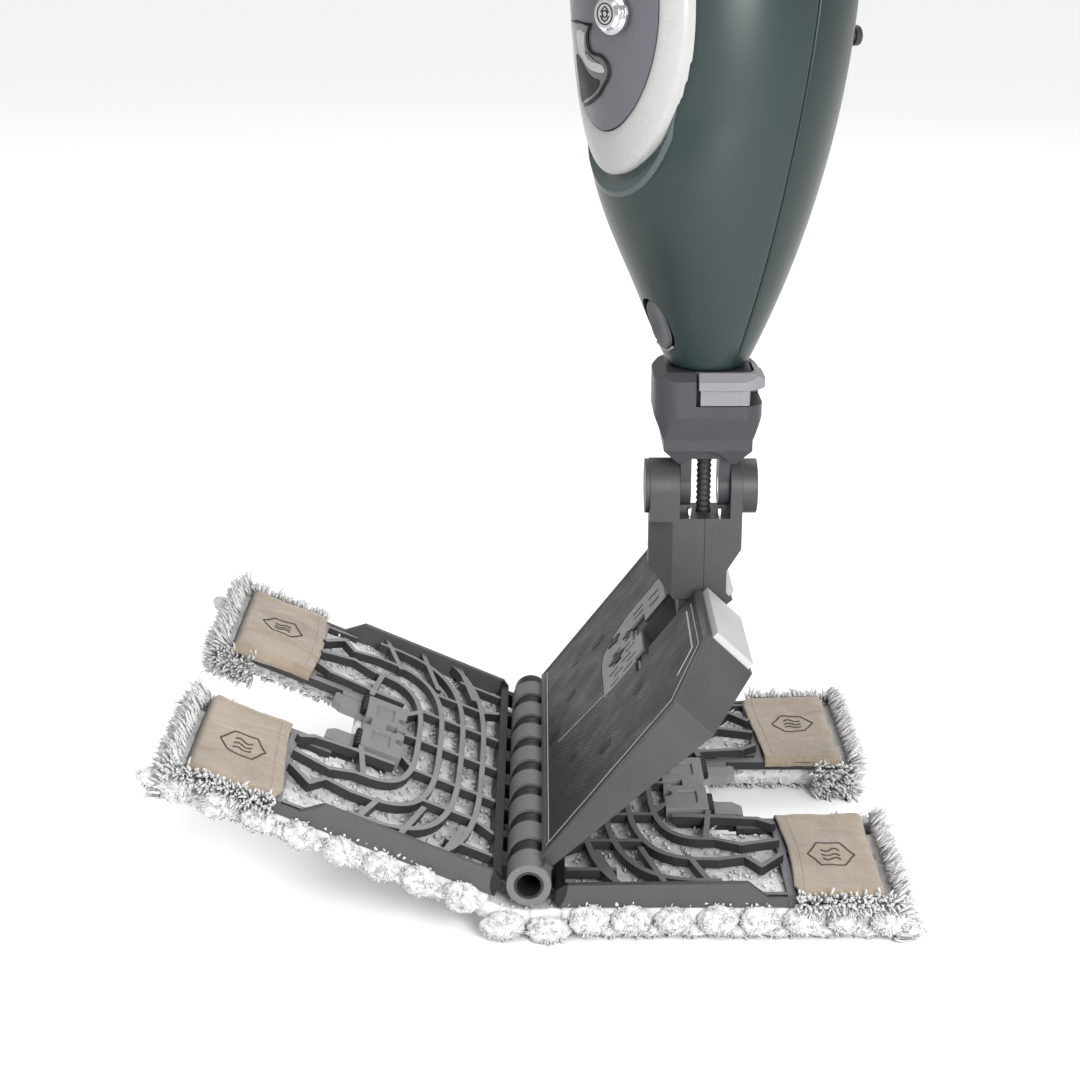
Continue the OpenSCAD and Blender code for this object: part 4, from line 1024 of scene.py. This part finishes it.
def make_grip(which, side):
    """One smooth half of the hand grip, with a parting line, finger ribs and a rounded end."""
    n = 30
    zs = [GRIP_LOW, GRIP_LOW + 0.3, GRIP_LOW + 1.2] + steps(1022.0, 1197.0, 1.0)
    zs += [1197.0, 1198.0, 1198.8, 1199.4, 1199.8]
    verts = []
    for z in zs:
        r = through([(a, b) for a, b, c in GRIP], z) - 1.2 * (1 - ease((z - GRIP_LOW) / 2.5))
        lean = through([(a, c) for a, b, c in GRIP], z)
        if z > GRIP_ROUND:
            r *= math.sqrt(max(0.02, 1 - 0.93 * ((z - GRIP_ROUND) / (GRIP_TOP - GRIP_ROUND)) ** 2.4))
        wave = math.sin((z - RIBS_LOW) / RIB_PITCH * math.pi) if RIBS_LOW < z < RIBS_HIGH else 0.0
        for k in range(n + 1):
            x, y = math.cos(math.pi * k / n), math.sin(math.pi * k / n)
            rib = 0.55 * max(0.0, -x) * max(0.0, wave)
            rr = r - rib - 0.35 * math.exp(-((min(k, n - k)) / 0.9) ** 2)
            verts.append((lean + rr * x, side * (rr * y + 0.12), z))
    faces = tube_faces(len(zs), n + 1)
    obj = piece("grip_" + which + "_skin", verts, faces, "grip", "handle_unit", "dark_plastic", BODY)
    cut(obj, prism([(-40, -5.4), (-2, -5.4), (-2, 5.4), (-40, 5.4)], 1064, 1114, BODY))
    soften(obj.data, 50)
    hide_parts("grip_" + which)


make_hose()
make_grip("left", -1)
make_grip("right", 1)


# ---- Pads -----------------------------------------------------------------
class Tufts:
    """Collects tapered strands and round lobes, and turns them into meshes."""

    def __init__(self, seed):
        self.seed = seed
        self.rng = random.Random(seed)
        self.rows = []
        self.cores = []

    def strand(self, base, way, length, width, droop=0.0):
        self.rows.append((*base, *way, length, width, droop, self.rng.uniform(0, 6.28)))

    def jitter(self, amount):
        return Vector([self.rng.uniform(-amount, amount) for _ in range(3)])

    def sway(self, amount):
        return (self.rng.uniform(-amount, amount), self.rng.uniform(-amount, amount))

    def tuft(self, at, way, count, length, width, spread):
        for _ in range(count):
            d = (Vector(way) + self.jitter(spread)).normalized()
            start = Vector(at) + self.jitter(1.2)
            long, wide = length * self.rng.uniform(0.75, 1.15), width * self.rng.uniform(0.8, 1.25)
            self.strand(start, d, long, wide, self.rng.uniform(-0.2, 0.35))

    def lobe(self, at, radii, count, open_way, width=1.3):
        """A round puff: short strands that stand on an egg-shaped core and lean outwards."""
        lean = Vector(open_way).normalized()
        for _ in range(count):
            d = Vector([self.rng.gauss(0, 1) for _ in range(3)]).normalized()
            if d.dot(lean) < -0.3:
                d = -d
            start = Vector(at) + d * Vector(radii) * 0.86
            way = (d * 0.8 + lean * 0.3 + self.jitter(0.75)).normalized()
            long, wide = self.rng.uniform(1.4, 3.0), width * self.rng.uniform(0.7, 1.3)
            self.strand(start, way, long, wide, self.rng.uniform(-0.8, 0.8))
        self.cores.append((Vector(at), Vector(radii)))

    def core_mesh(self):
        """The egg-shaped cores of the lobes, roughened."""
        verts, faces = [], []
        for n, (at, radii) in enumerate(self.cores):
            ball = bmesh.new()
            bmesh.ops.create_icosphere(ball, subdivisions=4, radius=1.0)
            base = len(verts)
            for v in ball.verts:
                coarse = noise.noise(v.co * 2.2 + Vector((n, self.seed, 0)))
                fine = noise.noise(v.co * 6.5 + Vector((self.seed, n, 4)))
                verts.append(at + v.co * radii * (0.95 + 0.12 * coarse + 0.13 * fine))
            faces += [tuple(v.index + base for v in f.verts) for f in ball.faces]
            ball.free()
        return verts, faces

    def strand_mesh(self):
        """Every strand as a three-sided spike: three rings of three points and a tip."""
        a = np.array(self.rows, float)
        base, way = a[:, 0:3], a[:, 3:6]
        way = way / np.linalg.norm(way, axis=1, keepdims=True)
        length, width, droop, spin = a[:, 6], a[:, 7], a[:, 8], a[:, 9]
        helper = np.where(np.abs(way[:, 2:3]) < 0.8, np.array([[0, 0, 1.0]]), np.array([[1.0, 0, 0]]))
        e1 = np.cross(way, helper)
        e1 /= np.linalg.norm(e1, axis=1, keepdims=True)
        e2 = np.cross(way, e1)

        def across(angle):
            return np.cos(angle)[:, None] * e1 + np.sin(angle)[:, None] * e2

        def along(t):
            return base + way * (length * t)[:, None] + across(spin) * (length * droop * t * t)[:, None]

        rings = []
        for t, k in ((0.0, 0.8), (0.45, 1.0), (0.85, 0.62)):
            rings += [along(t) + across(spin + turn) * (width * 0.5 * k)[:, None] for turn in turns(3)]
        points = np.stack(rings + [along(1.0)], axis=1).reshape(-1, 3)
        spike = grid_faces(3, 3, True) + [(6 + j, 6 + (j + 1) % 3, 9) for j in range(3)] + [(2, 1, 0)]
        faces = [tuple(10 * i + v for v in f) for i in range(len(a)) for f in spike]
        return points, faces

    def add_to(self, verts, faces):
        """Joins the lobes and the strands to a mesh's lists."""
        for points, more in (self.core_mesh(), self.strand_mesh()):
            base = len(verts)
            verts += [tuple(p) for p in points]
            faces += [tuple(i + base for i in f) for f in more]


PAD_L, PAD_HALF, PAD_TOP = 207.0, 146.0, -13.0
PAD_U0 = 20.0
CORE_HALF = PAD_HALF - 9
NOTCH_U, NOTCH_Y = 106.0, 38.0
EDGE_Y = 52.0
FLOOR_GAP = 0.4
TILE_U, TILE_Y = 11.0, 12.5


def in_pad(u, y):
    return not (u > NOTCH_U and abs(y) < EDGE_Y)


def domes(u, y, seed):
    """Low pillows of the pile's underside, in millimetres below its highest points."""
    a = u + bumps(u, y, (2.4, 15, seed))
    b = y + bumps(u, y, (2.4, 15, seed + 7))
    row = math.floor(a / TILE_U)
    across = abs(math.sin(math.pi * a / TILE_U))
    along = abs(math.sin(math.pi * (b / TILE_Y + 0.5 * (row % 2))))
    return 3.0 * across**0.7 * along**0.7 + bumps(u, y, (0.5, 2.3, seed))


def slab(u0, u1, top, bottom, seed, step=2.4):
    """Lumpy core of one pad half in leaf millimetres, with the notch for the neck."""
    nu, ny = int(round((u1 - u0) / step)), int(round(2 * CORE_HALF / step))
    us = [u0 + (u1 - u0) * i / nu for i in range(nu + 1)]
    ys = [-CORE_HALF + 2 * CORE_HALF * j / ny for j in range(ny + 1)]
    inside = [(i, j) for i in range(nu) for j in range(ny)]
    cells = {(i, j) for i, j in inside if in_pad((us[i] + us[i + 1]) / 2, (ys[j] + ys[j + 1]) / 2)}
    verts, index, faces = [], {}, []

    def vert(i, j, k):
        """Point of the lower face (k 0), of the round side (k 1) or of the upper face (k 2)."""
        if (i, j, k) not in index:
            index[(i, j, k)] = len(verts)
            u, y = us[i], ys[j]
            lump = bumps(u, y, (1.5, 9, seed + k), (1.1, 3.6, seed + 9 + k))
            if k == 0:
                verts.append((u, y, bottom + 1.2 - domes(u, y, seed)))
            elif k == 2:
                verts.append((u, y, top + lump))
            else:
                around = [(a, b) for a in (i - 1, i) for b in (j - 1, j) if (a, b) in cells]
                cu = sum(us[a] + step / 2 for a, b in around) / len(around) - u
                cy = sum(ys[b] + step / 2 for a, b in around) / len(around) - y
                verts.append((u - cu * 0.8, y - cy * 0.8, (top + bottom) / 2 + lump))
        return index[(i, j, k)]

    for i, j in sorted(cells):
        corners = ((i, j), (i + 1, j), (i + 1, j + 1), (i, j + 1))
        for k in (0, 2):
            faces.append(tuple(vert(*p, k) for p in corners))
        for (a, b), (p, q) in (((-1, 0), (0, 3)), ((1, 0), (1, 2)), ((0, -1), (0, 1)), ((0, 1), (3, 2))):
            if (i + a, j + b) not in cells:
                p, q = corners[p], corners[q]
                for k in (0, 1):
                    faces.append((vert(*p, k), vert(*q, k), vert(*q, k + 1), vert(*p, k + 1)))
    return verts, faces


def fringe(t, start, end, way, top, bottom, rows, length=10.0, gap=2.0, width=2.0):
    """Rows of pointed tufts along one straight edge of a pad."""
    (u0, y0), (u1, y1) = start, end
    count = int(math.dist(start, end) / gap)
    for r in range(rows):
        share = r / max(1, rows - 1)
        back = 2.4 * (1 - abs(2 * share - 1)) - 1
        for k in range(count):
            s = (k + t.rng.uniform(0.1, 0.9)) / count
            wave = 0.8 + 0.28 * math.sin(k * 0.8 + r * 1.7)
            u, y = u0 + (u1 - u0) * s + way[0] * back, y0 + (y1 - y0) * s + way[1] * back
            at = (u, y, top + (bottom - top) * share)
            t.tuft(at, (*way, 0.75 - 1.15 * share), 2, length * wave, width, 0.36)


def carpet(t, u0, u1, v, up, spacing, length, width):
    """Short pile all over one face of a pad."""
    for u in steps(u0, u1, spacing):
        for y in steps(-CORE_HALF, CORE_HALF, spacing):
            du, dy = t.sway(2)
            au, ay = u + du, y + dy
            if in_pad(au, ay) and in_pad(au - 3, ay) and in_pad(au, ay * 0.95):
                t.tuft((au, ay, v), (*t.sway(0.6), up), 1, length, width, 0.35)


def pad_half(which, thickness, seed):
    """One half of the pad under a wing: lumpy core, lobes on the long edges, fringe at the end."""
    bottom, end = PAD_TOP - thickness, PAD_L - 10
    t = Tufts(seed)
    verts, faces = slab(PAD_U0 - 2, PAD_L - 9, PAD_TOP + 1.2, bottom + 3.5, seed)
    count = 8
    pitch = (PAD_L - 3 - PAD_U0) / count
    mid = PAD_TOP - min(thickness, 15.0) * 0.5 + 0.6
    for side in (-1, 1):
        for k in range(count):
            u = PAD_U0 + pitch * (k + 0.5) + t.rng.uniform(-0.8, 0.8)
            size = t.rng.uniform(0.92, 1.06)
            radii = (pitch * 0.475 * size, 8.6 * size, 8.2 * size)
            t.lobe((u, side * (PAD_HALF - 8), mid), radii, 190, (0, side, 0.1))
            low = (u + pitch * 0.5, side * (PAD_HALF - 12), bottom + 5.5)
            t.lobe(low, (pitch * 0.45, 7.0, 5.0), 60, (0, side, -0.4))
    for side in (-1, 1):
        # along the end, the notch beside the pocket, the notch's inner part and the pocket's long edge
        outer, notch, inner, edge = (side * y for y in (PAD_HALF - 3, NOTCH_Y + 3, EDGE_Y + 3, PAD_HALF - 6))
        fringe(t, (end, notch), (end, outer), (1, 0), PAD_TOP + 7.5, bottom + 1.5, 8, 10.5, 1.5)
        ends = (174, side * (NOTCH_Y + 4)), (end + 1, side * (NOTCH_Y + 2.5))
        fringe(t, *ends, (0.3, -side), PAD_TOP + 1, bottom + 2, 7, 9.0, 1.5, 2.2)
        fringe(t, (112, inner), (176, inner), (0.2, -side), PAD_TOP - 3, bottom + 2, 4, 4.0, 1.9, 2.2)
        fringe(t, (142, edge), (PAD_L - 6, edge), (0.1, side * 0.7), PAD_TOP + 6.5, PAD_TOP, 5, 7.0, 1.7)
    carpet(t, PAD_U0, 138, PAD_TOP + 0.9, 0.5, 4.6, 2.6, 2.0)
    carpet(t, PAD_U0, end, bottom + 3.2, -0.6, 5.5, 3.0, 1.6)
    t.add_to(verts, faces)
    placed = [leaf(which) @ Vector(v) for v in verts]
    for point in placed:
        point.z = max(point.z, FLOOR_GAP * MM)
    obj = piece("pad_" + which + "_pile", placed, faces, "pile", which + "_wing", "microfibre")
    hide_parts("pad_" + which)


# upper and lower line of the slack middle, from the hinge
SLACK_TOP = [(-30, -6.5), (-22, -10.0), (-13, -14.0), (-3, -15.2), (10, -14.8), (21, -14.6)]
SLACK_LOW = [(-30, -17.0), (-26, -19.6), (-20, -24.6), (-13, -28.6), (-3, -31.0), (8, -31.5), (21, -31.6)]


def pad_middle(side, x0, x1, seed):
    """Half of the pad's slack middle, from a wing to the barrel."""
    nx, ny = 10, 114
    ys = [-CORE_HALF + 2 * CORE_HALF * j / ny for j in range(ny + 1)]
    verts = []
    for x in (x0 + (x1 - x0) * i / nx for i in range(nx + 1)):
        top, low = HZ + through(SLACK_TOP, x), HZ + through(SLACK_LOW, x)
        verts += [(HX + x, y, top + 0.6 * bumps(x, y, (1.2, 9, 3.0), (0.6, 4, 8.0))) for y in ys]
        verts += [(HX + x, y, low + 3.8 - domes(x, y, 3)) for y in reversed(ys)]
    faces = fold_faces(nx + 1, ny + 1)
    t = Tufts(seed)
    x = (x0 + x1) / 2
    height = HZ + 0.35 * through(SLACK_TOP, x) + 0.65 * through(SLACK_LOW, x)
    for s in (-1, 1):
        t.lobe((HX + x, s * (PAD_HALF - 8), height), (12.6, 8.4, 8.0), 180, (0, s, -0.1))
    for x in steps(x0, x1, 6.5):
        top, low = HZ + through(SLACK_TOP, x) - 1.0, HZ + through(SLACK_LOW, x) + 4.2
        for y in steps(10 - PAD_HALF, PAD_HALF - 10, 7.0):
            t.tuft((HX + x, y, low), (*t.sway(0.5), -1), 1, 3.6, 1.6, 0.35)
            t.tuft((HX + x, y + 3, top), (*t.sway(0.5), 1), 1, 3.0, 2.6, 0.35)
    t.add_to(verts, faces)
    placed = [(u, y, max(z, FLOOR_GAP)) for u, y, z in verts]
    obj = piece("pad_middle_" + side, placed, faces, "pile", slot="microfibre", matrix=ROW)
    if side == "left":
        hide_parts("pad_centre")
    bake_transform(obj)


pad_half("left", 14.0, 1)
pad_half("right", 19.0, 2)
pad_middle("left", -28.0, 0.0, 5)
pad_middle("right", 0.0, 21.0, 6)


# ---- Pockets --------------------------------------------------------------
POCKET_U0, POCKET_U1 = 140.4, 192.0
POCKET_Y0, POCKET_Y1 = 38.4, 138.0


def pocket_height(u, y, seed):
    """Top of the pocket's cloth over the prong's rods, in leaf millimetres."""
    h = -5.6
    for rod in (POCKET_Y0 + 5, 80.0, POCKET_Y1 - 5):
        h += 0.9 * math.exp(-((y - rod) / 6.0) ** 2)
    h += 0.7 * math.exp(-((u - 186.0) / 5.0) ** 2)
    h += 1.1 * noise.noise(Vector((u / 24, y / 18, seed)))
    h += 0.5 * noise.noise(Vector((u / 7, y / 9, seed + 4)))
    for s, amp in ((0.3, 0.7), (0.66, 0.6)):
        line = POCKET_Y0 + (POCKET_Y1 - POCKET_Y0) * s + 9 * math.sin(u / 15 + seed)
        h += amp * math.exp(-((y - line) / 1.5) ** 2)
    # outer edges turn down to the pad
    for gap, drop in ((POCKET_U1 - u, 6.0), (y - POCKET_Y0, 5.0), (POCKET_Y1 - y, 6.0)):
        h -= drop * (1 - ease(gap / 3.5)) ** 2
    return h


def mouth_wave(y, seed):
    """Gentle wave of the pocket's mouth along its width."""
    return math.sin((y - POCKET_Y0) / 29.0 + seed)


def pocket(node, which, side, seed):
    """Cloth pocket over one prong of a wing, with a sewn mark and seams."""
    nu, ny = 34, 56
    verts = []
    for i in range(nu + 1):
        for j in range(ny + 1):
            y = POCKET_Y0 + (POCKET_Y1 - POCKET_Y0) * j / ny
            mouth = POCKET_U0 + 1.2 + 2.6 * mouth_wave(y, seed) + 4.0 * ease((y - 126) / 14)
            u = mouth + (POCKET_U1 - mouth) * i / nu
            slip = 0.8 * math.sin(u / 9.0 + seed) * (1 - ease(min(y - POCKET_Y0, POCKET_Y1 - y) / 8.0))
            verts.append((u, side * (y + slip), pocket_height(u, y, seed)))
    obj = piece(node + "_cloth", verts, grid_faces(nu + 1, ny + 1), "cloth", matrix=leaf(which))
    mod = obj.modifiers.new("thick", "SOLIDIFY")
    mod.thickness = 0.0009
    mod.offset = 0.0
    settle(obj)
    obj.data.shade_smooth()
    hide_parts(node)

    def sewn(part, runs, lift, radius, look):
        placed = [[(u, side * y, pocket_height(u, y, seed) + lift) for u, y in run] for run in runs]
        return threads(node + "_cloth_" + part, placed, radius, look, None, None, leaf(which), 6)

    mark = sewn("mark", mark_runs(), 0.55, 0.5, "thread")
    hem = sewn("hem", seam_runs(seed), 0.42, 0.34, "cloth")
    for extra in (obj, mark, hem):
        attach(extra, which + "_wing")


def mark_runs(cu=167.0, cy=92.0):
    """A plain sewn mark: a hexagon with three short wisps."""
    badge = oval(13, 14, cu, cy, 6)
    runs = [dense(badge + badge[:1])]
    for k in (-1, 0, 1):
        runs.append([(cu - 5 + i, cy + 5 * k + 1.6 * math.sin(i / 10 * 2 * math.pi)) for i in range(11)])
    return runs


def seam_runs(seed):
    """Seams along the pocket's mouth and its inner side."""
    mouth = [(POCKET_U0 + 7 + 2.4 * mouth_wave(y, seed), y) for y in range(46, 137, 2)]
    return mouth, [(u, POCKET_Y0 + 7.5) for u in range(150, 190, 2)]


for which, shift in (("left", 0), ("right", 5)):
    for where, side in (("near", -1), ("far", 1)):
        pocket("pocket_" + which + "_" + where, which, side, 2.0 + side + shift)


# ---- Stage ----------------------------------------------------------------
def make_floor():
    bpy.ops.mesh.primitive_plane_add(size=16.0, location=(0.0, 2.0, 0.0))
    floor = bpy.context.object
    floor.name = "floor"
    paint = Paint("floor_paint")
    paint.set(Base_Color=(0.93, 0.93, 0.93, 1.0), Roughness=0.9)
    floor.data.materials.append(paint.mat)


def make_world():
    """White room; reflections see it dimmer than the floor does, so dark plastic keeps dark edges."""
    world = bpy.data.worlds.new("studio")
    world.use_nodes = True
    nodes, links = world.node_tree.nodes, world.node_tree.links
    nodes["Background"].inputs[0].default_value = (1.0, 1.0, 1.0, 1.0)
    path = nodes.new("ShaderNodeLightPath")
    dim = nodes.new("ShaderNodeMath")
    dim.operation = "MULTIPLY_ADD"
    dim.inputs[1].default_value = -0.5
    dim.inputs[2].default_value = 1.0
    links.new(path.outputs["Is Glossy Ray"], dim.inputs[0])
    links.new(dim.outputs[0], nodes["Background"].inputs[1])
    scene.world = world


def lamp(name, at, size, watts, aim=(0, 0, 0.3), tall=None):
    """A soft area light that looks at a point; tall makes it a rectangle."""
    light = bpy.data.lights.new(name, "AREA")
    light.size = size
    light.energy = watts
    if tall:
        light.shape = "RECTANGLE"
        light.size_y = tall
    obj = bpy.data.objects.new(name, light)
    obj.location = at
    obj.rotation_euler = (Vector(aim) - obj.location).to_track_quat("-Z", "Y").to_euler()
    scene.collection.objects.link(obj)


make_floor()
make_world()
lamp("key", (-1.2, -1.6, 2.2), 1.4, 18.0)
lamp("fill", (1.8, -1.2, 1.4), 1.6, 8.0)
lamp("back", (0.6, 1.8, 2.2), 1.6, 25.0)
# upright strip that draws the soft band down the shell
lamp("strip", (0.43, -1.12, 0.58), 0.46, 18.0, (NX * MM, 0, 0.46), 0.6)
